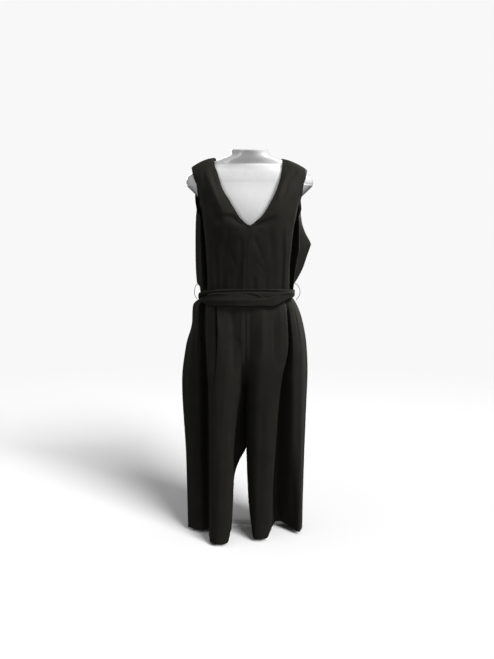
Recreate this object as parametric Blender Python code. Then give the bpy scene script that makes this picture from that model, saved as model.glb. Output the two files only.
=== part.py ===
# A sleeveless V-neck jumpsuit with cropped wide legs and a tie belt, on a limbless dress form with a stand.
# Metres, +Z up. The front faces -Y, and left and right are as seen from the front. The origin is on the floor
# under the middle of the whole part.
#
# Every cloth piece is a thin wall. Its outer face passes through named lines that run up the garment: seams,
# edges, and the crests and valleys of folds. A line is a short list of (height, x, y).

import math

import bpy
import bmesh
from mathutils import Vector

# ---- driving sizes
CLOTH_WALL = 0.002
BELT_WALL = 0.0024
SEAM_GAP = 0.0003
HEM = 0.012                 # lowest edge of the trousers, before a line's own hem height
CROTCH = 0.485
WAIST_SEAM = 0.790
WAIST_GAP = 0.0008          # between the bodice's lower edge and the trousers' upper edge
UNDERARM = 1.055
V_POINT = 1.0174
CHEST = 1.150               # above this the straps' lines run to their own shoulder heights
SHOULDER = 1.235            # nominal height of the shoulder seam
THIN_WALL_LIMIT = 0.75      # keeps a wall's thickness where it turns sharply at a seam
OWN_NORMAL_LIMIT = 0.6      # below this a corner's wall leans half towards its own leg, as at the crotch

# ---- trouser lines, on the outer face: (height, x, y)
LEFT_SIDE = [(0.790, -0.151, 0.004), (0.780, -0.167, 0.006), (0.764, -0.1780, 0.010),
             (0.710, -0.182, 0.012), (0.630, -0.2025, 0.018), (0.510, -0.2165, 0.024),
             (0.250, -0.2045, 0.030), (0.012, -0.200, 0.036)]
RIGHT_SIDE = [(0.790, 0.150, 0.004), (0.765, 0.165, 0.008), (0.710, 0.184, 0.012), (0.630, 0.1975, 0.016),
              (0.550, 0.2015, 0.020), (0.400, 0.1975, 0.024), (0.200, 0.191, 0.028), (0.012, 0.1875, 0.034)]
CENTRE_FRONT = [(0.790, -0.0045, -0.1020), (0.730, -0.0045, -0.1090), (0.640, -0.0045, -0.1120),
                (0.565, -0.0045, -0.0990), (0.520, -0.0045, -0.0640), (CROTCH, -0.0045, 0.0)]
CENTRE_BACK = [(0.790, -0.0045, 0.0960), (0.700, -0.0045, 0.1100), (0.620, -0.0045, 0.1120),
               (0.560, -0.0045, 0.0980), (0.520, -0.0045, 0.0660), (CROTCH, -0.0045, 0.0)]
LEFT_INSEAM = [(CROTCH, -0.0045, 0.0), (0.460, -0.0058, 0.001), (0.310, -0.0062, 0.004),
               (0.250, -0.027, 0.008), (0.180, -0.0435, 0.014), (0.100, -0.0465, 0.018),
               (0.012, -0.051, 0.024)]
RIGHT_INSEAM = [(CROTCH, -0.0045, 0.0), (0.460, -0.0034, 0.001), (0.270, -0.0022, 0.006),
                (0.150, 0.003, 0.014), (0.012, 0.016, 0.024)]

LEFT_FRONT_FOLDS = {
    "outer_crest": [(0.790, -0.136, -0.045), (0.700, -0.165, -0.042), (0.600, -0.178, -0.032),
                    (0.485, -0.182, -0.014), (0.250, -0.176, 0.002), (0.012, -0.170, 0.012)],
    "outer_flat": [(0.790, -0.127, -0.059), (0.700, -0.146, -0.062), (0.600, -0.152, -0.050),
                   (0.485, -0.153, -0.028), (0.250, -0.150, -0.006), (0.012, -0.147, 0.004)],
    "valley": [(0.790, -0.116, -0.069), (0.730, -0.129, -0.064), (0.640, -0.131, -0.052),
               (0.560, -0.130, -0.036), (0.485, -0.131, -0.016), (0.300, -0.131, 0.006),
               (0.012, -0.129, 0.016)],
    "strip": [(0.790, -0.108, -0.078), (0.700, -0.1195, -0.083), (0.600, -0.1205, -0.082),
              (0.520, -0.1210, -0.070), (0.400, -0.1230, -0.046), (0.200, -0.125, -0.030),
              (0.012, -0.1260, -0.020)],
    "pleat": [(0.790, -0.092, -0.087), (0.700, -0.0895, -0.092), (0.640, -0.0895, -0.095),
              (0.568, -0.0960, -0.096), (0.510, -0.1080, -0.094), (0.372, -0.1150, -0.086),
              (0.200, -0.1190, -0.080), (0.012, -0.1225, -0.078)],
    "lobe_crest": [(0.790, -0.077, -0.093), (0.680, -0.076, -0.112), (0.580, -0.079, -0.122),
                   (0.485, -0.084, -0.126), (0.300, -0.090, -0.130), (0.012, -0.098, -0.136)],
    "lobe_side": [(0.790, -0.050, -0.099), (0.680, -0.050, -0.116), (0.580, -0.052, -0.124),
                  (0.485, -0.056, -0.124), (0.300, -0.058, -0.124), (0.150, -0.064, -0.122),
                  (0.012, -0.071, -0.119)],
    "lobe_inner": [(0.790, -0.027, -0.1015), (0.680, -0.027, -0.110), (0.580, -0.030, -0.106),
                   (0.485, -0.032, -0.088), (0.300, -0.037, -0.074), (0.180, -0.050, -0.066),
                   (0.012, -0.057, -0.056)],
}
RIGHT_FRONT_FOLDS = {
    "lobe_inner": [(0.790, 0.022, -0.1020), (0.680, 0.020, -0.109), (0.600, 0.017, -0.109),
                   (0.530, 0.013, -0.094), (0.485, 0.010, -0.078), (0.300, 0.0045, -0.060),
                   (0.150, 0.006, -0.056), (0.012, 0.0185, -0.056)],
    "lobe_side": [(0.790, 0.042, -0.1015), (0.680, 0.042, -0.113), (0.580, 0.034, -0.115),
                  (0.485, 0.022, -0.103), (0.300, 0.018, -0.092), (0.012, 0.026, -0.082)],
    "lobe_crest": [(0.790, 0.064, -0.097), (0.680, 0.068, -0.112), (0.580, 0.062, -0.119),
                   (0.485, 0.056, -0.114), (0.300, 0.050, -0.104), (0.012, 0.046, -0.092)],
    "lobe_outer": [(0.790, 0.086, -0.089), (0.680, 0.096, -0.098), (0.600, 0.096, -0.101),
                   (0.485, 0.088, -0.094), (0.300, 0.081, -0.076), (0.012, 0.068, -0.060)],
    "pleat": [(0.790, 0.106, -0.079), (0.690, 0.114, -0.080), (0.600, 0.117, -0.075),
              (0.530, 0.1080, -0.066), (0.373, 0.106, -0.046), (0.200, 0.098, -0.028),
              (0.012, 0.082, -0.010)],
    "valley": [(0.790, 0.122, -0.066), (0.700, 0.127, -0.056), (0.603, 0.132, -0.044),
               (0.530, 0.124, -0.030), (0.400, 0.120, -0.008), (0.250, 0.116, 0.012), (0.120, 0.110, 0.034),
               (0.012, 0.104, 0.056)],
    "outer_flat": [(0.790, 0.132, -0.053), (0.700, 0.148, -0.054), (0.600, 0.150, -0.045),
                   (0.485, 0.146, -0.034), (0.250, 0.141, -0.012), (0.012, 0.139, 0.022)],
    "outer_crest": [(0.790, 0.141, -0.034), (0.700, 0.164, -0.038), (0.600, 0.173, -0.036),
                    (0.485, 0.173, -0.031), (0.250, 0.169, -0.026), (0.012, 0.172, -0.016)],
}
LEFT_BACK_FOLDS = {
    "inner": [(0.790, -0.030, 0.0960), (0.680, -0.032, 0.112), (0.580, -0.031, 0.108),
              (0.500, -0.028, 0.088), (0.380, -0.028, 0.076), (0.200, -0.046, 0.072),
              (0.012, -0.056, 0.078)],
    "mid_crest": [(0.790, -0.062, 0.0915), (0.680, -0.068, 0.112), (0.580, -0.072, 0.120),
                  (0.485, -0.073, 0.118), (0.250, -0.082, 0.120), (0.012, -0.090, 0.128)],
    "valley": [(0.790, -0.092, 0.0810), (0.700, -0.107, 0.094), (0.580, -0.119, 0.099),
               (0.485, -0.121, 0.096), (0.250, -0.121, 0.092), (0.012, -0.120, 0.094)],
    "outer_crest": [(0.790, -0.122, 0.0625), (0.700, -0.149, 0.078), (0.580, -0.164, 0.092),
                    (0.485, -0.169, 0.098), (0.250, -0.165, 0.106), (0.012, -0.161, 0.114)],
    "outer_side": [(0.790, -0.141, 0.0360), (0.700, -0.172, 0.044), (0.580, -0.195, 0.052),
                   (0.485, -0.203, 0.058), (0.250, -0.192, 0.066), (0.012, -0.188, 0.074)],
}
RIGHT_BACK_FOLDS = {
    "outer_side": [(0.790, 0.139, 0.0360), (0.700, 0.168, 0.044), (0.580, 0.184, 0.050),
                   (0.485, 0.186, 0.056), (0.250, 0.180, 0.064), (0.012, 0.177, 0.078)],
    "outer_crest": [(0.790, 0.120, 0.0625), (0.700, 0.142, 0.078), (0.580, 0.152, 0.092),
                    (0.485, 0.155, 0.100), (0.250, 0.152, 0.112), (0.012, 0.150, 0.124)],
    "valley": [(0.790, 0.088, 0.0820), (0.700, 0.098, 0.097), (0.580, 0.106, 0.103), (0.485, 0.108, 0.102),
               (0.250, 0.108, 0.104), (0.012, 0.106, 0.110)],
    "mid_crest": [(0.790, 0.054, 0.0925), (0.680, 0.058, 0.112), (0.580, 0.062, 0.119),
                  (0.485, 0.063, 0.117), (0.250, 0.064, 0.121), (0.012, 0.060, 0.126)],
    "inner": [(0.790, 0.021, 0.0960), (0.680, 0.022, 0.112), (0.580, 0.021, 0.107), (0.500, 0.018, 0.086),
              (0.380, 0.018, 0.074), (0.200, 0.020, 0.072), (0.012, 0.024, 0.078)],
}
HEM_HEIGHTS = {             # where a line's lower end isn't at HEM
    "left_front": {"outer_crest": 0.013, "outer_flat": 0.0135, "valley": 0.015, "lobe_crest": 0.010,
                   "lobe_side": 0.0105},
    "right_front": {"pleat": 0.021, "valley": 0.029, "outer_flat": 0.021, "outer_crest": 0.012},
}

# ---- bodice lines, on the outer face: (height, x, y)
BODICE_LEFT_SEAM = [(0.790, -0.151, 0.004), (0.840, -0.157, 0.008), (0.920, -0.158, 0.012),
                    (1.000, -0.155, 0.012), (UNDERARM, -0.151, 0.008)]
BODICE_RIGHT_SEAM = [(0.790, 0.150, 0.004), (0.840, 0.154, 0.010), (0.900, 0.164, 0.014),
                     (0.965, 0.172, 0.016), (1.010, 0.171, 0.014), (UNDERARM, 0.166, 0.008)]
CENTRE_BODICE = [(0.790, 0.000, -0.1020), (0.880, 0.002, -0.1130), (0.950, 0.006, -0.1205),
                 (V_POINT, 0.009, -0.1240)]
CENTRE_BODICE_BACK = [(0.790, -0.0045, 0.0960), (0.880, -0.003, 0.0960), (0.960, 0.001, 0.0990),
                      (1.050, 0.006, 0.1020), (1.130, 0.009, 0.0940), (1.195, 0.010, 0.0725)]
LEFT_NECKLINE = [(V_POINT, 0.009, -0.1240), (1.0227, -0.003, -0.1240), (1.0319, -0.0124, -0.1235),
                 (1.0412, -0.0217, -0.1220), (1.060, -0.0342, -0.1180), (1.0982, -0.0562, -0.1040),
                 (1.1372, -0.0780, -0.0850), (1.1773, -0.0919, -0.0620), (1.2204, -0.1055, -0.0270),
                 (SHOULDER, -0.1050, 0.005)]
RIGHT_NECKLINE = [(V_POINT, 0.009, -0.1240), (1.0227, 0.0186, -0.1240), (1.0319, 0.0285, -0.1235),
                  (1.0412, 0.0404, -0.1220), (1.060, 0.0560, -0.1180), (1.0982, 0.0781, -0.1040),
                  (1.1372, 0.0950, -0.0850), (1.1773, 0.1075, -0.0620), (1.2204, 0.1150, -0.0270),
                  (SHOULDER, 0.1140, 0.005)]
LEFT_ARMHOLE_FRONT = [(UNDERARM, -0.151, 0.008), (1.066, -0.1485, -0.034), (1.085, -0.1500, -0.056),
                      (1.111, -0.1530, -0.060), (1.150, -0.1610, -0.053), (1.190, -0.1720, -0.039),
                      (SHOULDER, -0.1805, 0.004)]
RIGHT_ARMHOLE_FRONT = [(UNDERARM, 0.166, 0.008), (1.066, 0.1655, -0.034), (1.085, 0.1685, -0.056),
                       (1.120, 0.1745, -0.060), (1.150, 0.1795, -0.053), (1.190, 0.1885, -0.039),
                       (SHOULDER, 0.1955, 0.004)]
LEFT_ARMHOLE_BACK = [(UNDERARM, -0.151, 0.008), (1.066, -0.1610, 0.036), (1.085, -0.1680, 0.050),
                     (1.120, -0.1720, 0.058), (1.160, -0.1710, 0.054), (1.200, -0.1740, 0.038),
                     (SHOULDER, -0.1805, 0.004)]
RIGHT_ARMHOLE_BACK = [(UNDERARM, 0.166, 0.008), (1.066, 0.1760, 0.036), (1.085, 0.1800, 0.050),
                      (1.120, 0.1780, 0.058), (1.160, 0.1800, 0.054), (1.200, 0.1870, 0.038),
                      (SHOULDER, 0.1955, 0.004)]

LEFT_BODICE_FOLDS = {
    "valley": [(0.790, -0.1375, -0.043), (0.840, -0.1290, -0.040), (0.920, -0.1370, -0.034),
               (1.000, -0.1455, -0.030), (UNDERARM, -0.1480, -0.030), (1.085, -0.1470, -0.064),
               (1.150, -0.1560, -0.058)],
    "edge": [(0.790, -0.1130, -0.073), (0.840, -0.1170, -0.078), (0.920, -0.1260, -0.082),
             (1.000, -0.1340, -0.080), (UNDERARM, -0.1370, -0.076), (1.100, -0.1380, -0.078),
             (1.150, -0.1440, -0.068)],
    "ridge": [(0.790, -0.0760, -0.093), (0.880, -0.0840, -0.106), (0.950, -0.0860, -0.115),
              (1.030, -0.0860, -0.122), (1.080, -0.0900, -0.113), (1.150, -0.1150, -0.086),
              (1.200, -0.1330, -0.049)],
    "mid": [(0.790, -0.0380, -0.1005), (0.880, -0.0400, -0.1115), (0.950, -0.0420, -0.1195),
            (1.030, -0.0500, -0.1245), (1.080, -0.0680, -0.1140), (1.150, -0.0980, -0.0830),
            (1.200, -0.1160, -0.0480)],
}
RIGHT_BODICE_FOLDS = {
    "mid": [(0.790, 0.0370, -0.1005), (0.880, 0.0430, -0.1115), (0.950, 0.0490, -0.1195),
            (1.030, 0.0660, -0.1240), (1.080, 0.0900, -0.1130), (1.150, 0.1150, -0.0840),
            (1.200, 0.1270, -0.0480)],
    "ridge": [(0.790, 0.0770, -0.092), (0.880, 0.0880, -0.107), (0.950, 0.0940, -0.115),
              (1.030, 0.1040, -0.120), (1.080, 0.1140, -0.111), (1.150, 0.1340, -0.082),
              (1.200, 0.1440, -0.049)],
    "edge": [(0.790, 0.1130, -0.071), (0.840, 0.1230, -0.078), (0.920, 0.1330, -0.084),
             (1.000, 0.1390, -0.086), (UNDERARM, 0.1450, -0.085), (1.100, 0.1500, -0.081),
             (1.150, 0.1580, -0.070)],
    "valley": [(0.790, 0.1360, -0.041), (0.840, 0.1420, -0.030), (0.920, 0.1490, -0.022),
               (1.000, 0.1520, -0.020), (UNDERARM, 0.1580, -0.030), (1.085, 0.1610, -0.065),
               (1.150, 0.1715, -0.058)],
}
LEFT_BODICE_BACK_FOLDS = {
    "blade": [(0.790, -0.0500, 0.0935), (0.880, -0.0520, 0.0980), (0.960, -0.0560, 0.1020),
              (1.050, -0.0580, 0.1040), (1.130, -0.0620, 0.0960), (1.190, -0.0850, 0.0680)],
    "quarter": [(0.790, -0.0950, 0.0800), (0.880, -0.1000, 0.0880), (0.960, -0.1060, 0.0930),
                (1.050, -0.1100, 0.0940), (1.130, -0.1160, 0.0860), (1.190, -0.1300, 0.0590)],
    "side_crest": [(0.790, -0.1345, 0.0400), (0.812, -0.1400, 0.0420), (0.840, -0.1660, 0.0440),
                   (0.920, -0.1700, 0.0460), (1.000, -0.1705, 0.0500), (1.060, -0.1690, 0.0560),
                   (1.120, -0.1610, 0.0680), (1.190, -0.1580, 0.0520)],
}
RIGHT_BODICE_BACK_FOLDS = {
    "side_crest": [(0.790, 0.1335, 0.0400), (0.812, 0.1385, 0.0420), (0.830, 0.1520, 0.0440),
                   (0.850, 0.1660, 0.0460), (0.887, 0.1850, 0.0500), (0.926, 0.1985, 0.0540),
                   (0.955, 0.2105, 0.0560), (0.975, 0.2090, 0.0560), (1.004, 0.1940, 0.0540),
                   (1.040, 0.1805, 0.0520), (1.080, 0.1760, 0.0600), (1.130, 0.1710, 0.0680),
                   (1.190, 0.1750, 0.0500)],
    "quarter": [(0.790, 0.0920, 0.0800), (0.880, 0.1080, 0.0900), (0.960, 0.1160, 0.0960),
                (1.050, 0.1160, 0.0960), (1.130, 0.1260, 0.0880), (1.190, 0.1430, 0.0590)],
    "blade": [(0.790, 0.0420, 0.0940), (0.880, 0.0480, 0.0985), (0.960, 0.0560, 0.1020),
              (1.050, 0.0660, 0.1040), (1.130, 0.0760, 0.0960), (1.190, 0.0980, 0.0680)],
}
LEFT_NECK_BACK = [(1.195, 0.0100, 0.0725), (1.1975, -0.0200, 0.0725), (1.206, -0.0500, 0.0670),
                  (1.218, -0.0770, 0.0500), (1.230, -0.0960, 0.0250), (SHOULDER, -0.1050, 0.005)]
RIGHT_NECK_BACK = [(1.195, 0.0100, 0.0725), (1.1975, 0.0380, 0.0725), (1.206, 0.0660, 0.0670),
                   (1.218, 0.0900, 0.0500), (1.230, 0.1060, 0.0250), (SHOULDER, 0.1140, 0.005)]
NECK_BACK_POINT = 1.195
CROWN = 1.230               # the straps round over between here and the shoulder seam
CROWN_FRONT = -0.017
CROWN_BACK = 0.025
SHOULDER_SEAMS = {          # the seam's outer and inner end: (x, y, z)
    "left": ((-0.1805, 0.004, 1.2100), (-0.1050, 0.005, 1.2360)),
    "right": ((0.1955, 0.004, 1.2085), (0.1140, 0.005, 1.2360)),
}

# ---- mesh steps
TROUSER_TOP_ROWS = [0.790, 0.779, 0.767, 0.745, 0.712, 0.675, 0.635, 0.595,
                    0.565, 0.540, 0.520, 0.500, CROTCH]
LEG_ROWS = [0.460, 0.420, 0.370, 0.320, 0.270, 0.225, 0.180, 0.130, 0.080, 0.040, HEM]
BODICE_LOW_ROWS = [0.790, 0.808, 0.830, 0.855, 0.885, 0.915, 0.945, 0.970, 0.995]
BODICE_BUST_ROWS = [V_POINT, 1.0319, UNDERARM]
FRONT_TOP_ROWS = [1.066, 1.085, 1.108, 1.130, 1.150, 1.172, 1.195, 1.212, 1.223, 1.230]
BACK_TOP_ROWS = [1.066, 1.085, 1.115, 1.150, 1.178, 1.195, 1.1985, 1.205, 1.214, 1.223, 1.230]

# ---- the dress form: (height, half width, front depth, back depth, squareness), about its own axis
FORM_AXIS_X = 0.009
FORM_RINGS = [
    (0.600, 0.108, 0.060, 0.070, 2.3), (0.604, 0.120, 0.067, 0.080, 2.3),
    (0.614, 0.127, 0.073, 0.087, 2.3), (0.660, 0.131, 0.077, 0.090, 2.3),
    (0.730, 0.128, 0.078, 0.080, 2.3), (0.790, 0.122, 0.078, 0.072, 2.3),
    (0.850, 0.122, 0.083, 0.074, 2.3), (0.920, 0.127, 0.094, 0.079, 2.3),
    (0.980, 0.132, 0.107, 0.083, 2.3), (1.030, 0.136, 0.112, 0.086, 2.3),
    (1.070, 0.142, 0.105, 0.086, 2.3), (1.100, 0.153, 0.094, 0.082, 2.3),
    (1.125, 0.176, 0.083, 0.077, 2.3), (1.145, 0.197, 0.073, 0.070, 2.3),
    (1.165, 0.206, 0.064, 0.063, 2.3), (1.183, 0.201, 0.055, 0.056, 2.25),
    (1.193, 0.187, 0.050, 0.052, 2.15), (1.200, 0.173, 0.047, 0.050, 2.0),
    (1.206, 0.157, 0.045, 0.049, 1.85), (1.212, 0.141, 0.044, 0.048, 1.75),
    (1.2185, 0.124, 0.044, 0.048, 1.7), (1.2255, 0.108, 0.046, 0.049, 1.75),
    (1.233, 0.093, 0.048, 0.050, 1.85), (1.241, 0.081, 0.051, 0.051, 2.0),
    (1.250, 0.071, 0.053, 0.053, 2.0), (1.26, 0.0635, 0.0545, 0.055, 2.0),
    (1.2675, 0.0605, 0.055, 0.0565, 2.0), (1.27, 0.0585, 0.053, 0.0545, 2.0),
]
FORM_SIDES = 32

# ---- the belt: (angle from the front in degrees, lower edge, upper edge)
BELT_SECTIONS = [
    (-180, 0.7790, 0.8020), (-150, 0.7740, 0.8080), (-120, 0.7770, 0.8060), (-92, 0.7870, 0.8030),
    (-70, 0.7790, 0.8120), (-48, 0.7710, 0.8160), (0, 0.7690, 0.8205), (45, 0.7740, 0.8200),
    (68, 0.7820, 0.8195), (88, 0.7920, 0.8170), (120, 0.7790, 0.8090), (150, 0.7740, 0.8080),
    (180, 0.7790, 0.8020),
]
BELT_HALF_WIDTH = 0.1570
BELT_FRONT = 0.1140
BELT_BACK = 0.1060
BELT_CENTRE_X = -0.0015
BELT_SQUARENESS = 2.25
BELT_STEPS = 48
KNOT_CENTRE = (-0.0045, 0.1200, 0.7900)
KNOT_HALF_SIZE = (0.0240, 0.0115, 0.0190)
TAIL_WIDTH = 0.046
TAILS = {                   # (height, x of the middle, y): from under the knot to the pointed-off end
    "belt_tail_left": [(0.7690, -0.0150, 0.1215), (0.740, -0.0210, 0.1255), (0.680, -0.0300, 0.1290),
                       (0.600, -0.0350, 0.1320), (0.520, -0.0380, 0.1335)],
    "belt_tail_right": [(0.7690, 0.0060, 0.1215), (0.740, 0.0130, 0.1255), (0.680, 0.0240, 0.1290),
                        (0.620, 0.0290, 0.1320), (0.560, 0.0310, 0.1330)],
}
TAIL_ROWS = 12

# ---- thread belt loops: (height, x, y)
LOOP_RADIUS = 0.0008
BELT_LOOPS = {
    "belt_loop_left": [(0.8350, -0.1610, 0.006), (0.8290, -0.1680, 0.005), (0.8140, -0.1720, 0.004),
                       (0.7980, -0.1710, 0.004), (0.7850, -0.1640, 0.006)],
    "belt_loop_right": [(0.8370, 0.1570, 0.006), (0.8300, 0.1660, 0.005), (0.8120, 0.1740, 0.004),
                        (0.7960, 0.1710, 0.004), (0.7820, 0.1610, 0.006)],
}

# ---- the stand
FOOT_HEIGHT = 0.006
FOOT_LEFT = -0.118
FOOT_RIGHT = 0.070
FOOT_RUNNER = 0.046
FOOT_LEFT_FRONT = -0.080
FOOT_RIGHT_FRONT = -0.050
FOOT_CROSS_FRONT = 0.085
FOOT_BACK = 0.136
FOOT_CORNER = 0.010
ROD_PLACE = (-0.094, 0.048)
ROD_RADIUS = 0.011
ROD_SIDES = 20
FLANGE_RADIUS = 0.021
FLANGE_HEIGHT = 0.022
FLANGE_SIDES = 24

# ---- finishes
CREPE_COLOUR = (0.0130, 0.0122, 0.0108)
CREPE_ROUGHNESS = 0.72
THREAD_COLOUR = (0.030, 0.028, 0.026)
THREAD_ROUGHNESS = 0.60
FORM_COLOUR = (0.80, 0.80, 0.80)
FORM_ROUGHNESS = 0.30
FOOT_COLOUR = (0.78, 0.78, 0.77)
FOOT_ROUGHNESS = 0.45
STEEL_COLOUR = (0.62, 0.62, 0.61)
STEEL_ROUGHNESS = 0.32


# ---- curves

def between(low, high, share):
    return low + (high - low) * share


def line_at(line, height):
    """x and y of a line at a height, smooth through its own points and never beyond them."""
    points = sorted(line)
    if height <= points[0][0]:
        return points[0][1:]
    if height >= points[-1][0]:
        return points[-1][1:]
    spans = [b[0] - a[0] for a, b in zip(points, points[1:])]
    i = next(k for k, span in enumerate(spans) if height <= points[k + 1][0])
    share = (height - points[i][0]) / spans[i]
    return tuple(eased(points, spans, i, share, axis) for axis in (1, 2))


def eased(points, spans, i, share, axis):
    slopes = [(b[axis] - a[axis]) / span for a, b, span in zip(points, points[1:], spans)]

    def tangent(k):
        if k == 0 or k == len(points) - 1:
            return slopes[min(k, len(slopes) - 1)]
        before, after = slopes[k - 1], slopes[k]
        if before * after <= 0.0:
            return 0.0
        weight_before = 2.0 * spans[k] + spans[k - 1]
        weight_after = spans[k] + 2.0 * spans[k - 1]
        return (weight_before + weight_after) / (weight_before / before + weight_after / after)

    return hermite(points[i][axis], points[i + 1][axis],
                   tangent(i) * spans[i], tangent(i + 1) * spans[i], share)


def hermite(start, end, start_pull, end_pull, share):
    square, cube = share * share, share * share * share
    return (start * (2 * cube - 3 * square + 1) + start_pull * (cube - 2 * square + share)
            + end * (3 * square - 2 * cube) + end_pull * (cube - square))


def row_through(points, steps):
    """A smooth row through the points, with its own number of steps in each span."""
    chords = [max((b - a).length, 1e-6) for a, b in zip(points, points[1:])]

    def tangent(k):
        if k == 0:
            return (points[1] - points[0]) / chords[0]
        if k == len(points) - 1:
            return (points[k] - points[k - 1]) / chords[k - 1]
        before = (points[k] - points[k - 1]) / chords[k - 1]
        after = (points[k + 1] - points[k]) / chords[k]
        return (before * chords[k] + after * chords[k - 1]) / (chords[k] + chords[k - 1])

    row = [points[0]]
    for k, count in enumerate(steps):
        start_pull, end_pull = tangent(k) * chords[k], tangent(k + 1) * chords[k]
        for n in range(1, count + 1):
            row.append(hermite(points[k], points[k + 1], start_pull, end_pull, n / count))
    return row


# ---- thin walls

def place_key(point):
    return tuple(round(value, 6) for value in point)


def quads_of(grid):
    for low, high in zip(grid, grid[1:]):
        for c in range(len(low) - 1):
            yield low[c], low[c + 1], high[c + 1], high[c]


def outward_normals(grids):
    """One normal for each place, shared by all the pieces that meet there."""
    sums = {}
    for grid in grids:
        for quad in quads_of(grid):
            facing = (quad[2] - quad[0]).cross(quad[3] - quad[1])
            for corner in quad:
                sums[place_key(corner)] = sums.get(place_key(corner), Vector()) + facing
    return {place: total.normalized() for place, total in sums.items()}


def leaning_to(own, shared):
    """The shared normals, turned half way to a leg's own where the two differ greatly."""
    return {place: shared[place] if shared[place].dot(normal) > OWN_NORMAL_LIMIT
            else (shared[place] + normal).normalized() for place, normal in own.items()}


def wall_mesh(name, grids, normals, wall):
    """A closed wall: the outer face through the grids, the inner face behind it, a rim round each edge."""
    places, outer, faces = {}, [], []

    def number(point):
        place = place_key(point)
        if place not in places:
            places[place] = len(outer)
            outer.append(point)
        return places[place]

    for grid in grids:
        faces += [tuple(number(corner) for corner in quad) for quad in quads_of(grid)]
    facing = [normals[place] for place in places]
    edges = {(face[k], face[(k + 1) % 4]) for face in faces for k in range(4)}
    border = [(a, b) for a, b in edges if (b, a) not in edges]

    inward = {}
    for a, b in border:
        along = (outer[b] - outer[a]).normalized()
        into_piece = (facing[a] + facing[b]).normalized().cross(along).normalized()
        inward.setdefault(a, []).append(into_piece)
        inward.setdefault(b, []).append(into_piece)
    shift = [Vector() for _ in outer]
    for corner, ways in inward.items():
        spread = max(0.3, 1.0 + ways[0].dot(ways[-1]))
        shift[corner] = (ways[0] + ways[-1]) * (SEAM_GAP * 0.5 / spread)

    lean = [1.0] * len(outer)
    for face in faces:
        flat = (outer[face[2]] - outer[face[0]]).cross(outer[face[3]] - outer[face[1]]).normalized()
        for corner in face:
            lean[corner] = min(lean[corner], max(THIN_WALL_LIMIT, flat.dot(facing[corner])))

    count = len(outer)
    verts = [outer[k] + shift[k] for k in range(count)]
    verts += [outer[k] + shift[k] - facing[k] * (wall / lean[k]) for k in range(count)]
    solid = []
    for a, b, c, d in faces:
        if (outer[a] - outer[c]).length <= (outer[b] - outer[d]).length:
            halves = [(a, b, c), (a, c, d)]
        else:
            halves = [(a, b, d), (b, c, d)]
        solid += halves
        solid += [tuple(k + count for k in reversed(half)) for half in halves]
    for a, b in sorted(border):
        solid += [(b, a, a + count), (b, a + count, b + count)]
    mesh = bpy.data.meshes.new(name)
    mesh.from_pydata(verts, [], solid)
    return mesh


def add_piece(name, mesh, material):
    piece = bpy.data.objects.new(name, mesh)
    bpy.context.scene.collection.objects.link(piece)
    mesh.materials.append(material)
    return piece


def finish_material(name, colour, roughness, metallic=0.0):
    material = bpy.data.materials.new(name)
    material.use_nodes = True
    shader = material.node_tree.nodes["Principled BSDF"]
    shader.inputs["Base Color"].default_value = (*colour, 1.0)
    shader.inputs["Roughness"].default_value = roughness
    shader.inputs["Metallic"].default_value = metallic
    material.diffuse_color = (*colour, 1.0)
    return material


def crepe(piece_name):
    return finish_material(piece_name + "_crepe", CREPE_COLOUR, CREPE_ROUGHNESS)


# ---- the trousers

def leg_line_point(line, height, hem_height):
    x, y = line_at(line, height)
    drop = max(0.0, (LEG_ROWS[-4] - height) / (LEG_ROWS[-4] - HEM))
    top = WAIST_SEAM - WAIST_GAP / 2
    return Vector((x, y, min(top, height + (hem_height - HEM) * drop)))


def leg_panel(first, folds, last, steps, hem_heights):
    """first and last give the line for a height: a panel's edge changes line at the crotch or not at all."""
    grid = []
    for height in sorted(TROUSER_TOP_ROWS + LEG_ROWS):
        lines = [(first(height), HEM)] + [(folds[name], hem_heights.get(name, HEM)) for name in folds]
        lines.append((last(height), HEM))
        grid.append(row_through([leg_line_point(line, height, hem) for line, hem in lines], steps))
    return grid


def seam_then_inseam(seam, inseam):
    return lambda height: seam if height >= CROTCH else inseam


def trouser_grids():
    left_front = leg_panel(lambda height: LEFT_SIDE, LEFT_FRONT_FOLDS,
                           seam_then_inseam(CENTRE_FRONT, LEFT_INSEAM), [2, 2, 2, 2, 2, 2, 2, 2, 3],
                           HEM_HEIGHTS["left_front"])
    right_front = leg_panel(seam_then_inseam(CENTRE_FRONT, RIGHT_INSEAM), RIGHT_FRONT_FOLDS,
                            lambda height: RIGHT_SIDE, [3, 2, 2, 2, 2, 2, 2, 2, 2],
                            HEM_HEIGHTS["right_front"])
    right_back = leg_panel(lambda height: RIGHT_SIDE, RIGHT_BACK_FOLDS,
                           seam_then_inseam(CENTRE_BACK, RIGHT_INSEAM), [1, 2, 2, 2, 2, 3], {})
    left_back = leg_panel(seam_then_inseam(CENTRE_BACK, LEFT_INSEAM), LEFT_BACK_FOLDS,
                          lambda height: LEFT_SIDE, [3, 2, 2, 2, 2, 1], {})
    return {"leg_front_left": [left_front], "leg_front_right": [right_front],
            "leg_back_right": [right_back], "leg_back_left": [left_back]}


# ---- the bodice

def bodice_point(line, height, shoulder_height):
    x, y = line_at(line, height)
    rise = max(0.0, (height - CHEST) / (SHOULDER - CHEST))
    bottom = WAIST_SEAM + WAIST_GAP / 2
    return Vector((x, y, max(bottom, height + (shoulder_height - SHOULDER) * rise)))


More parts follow.
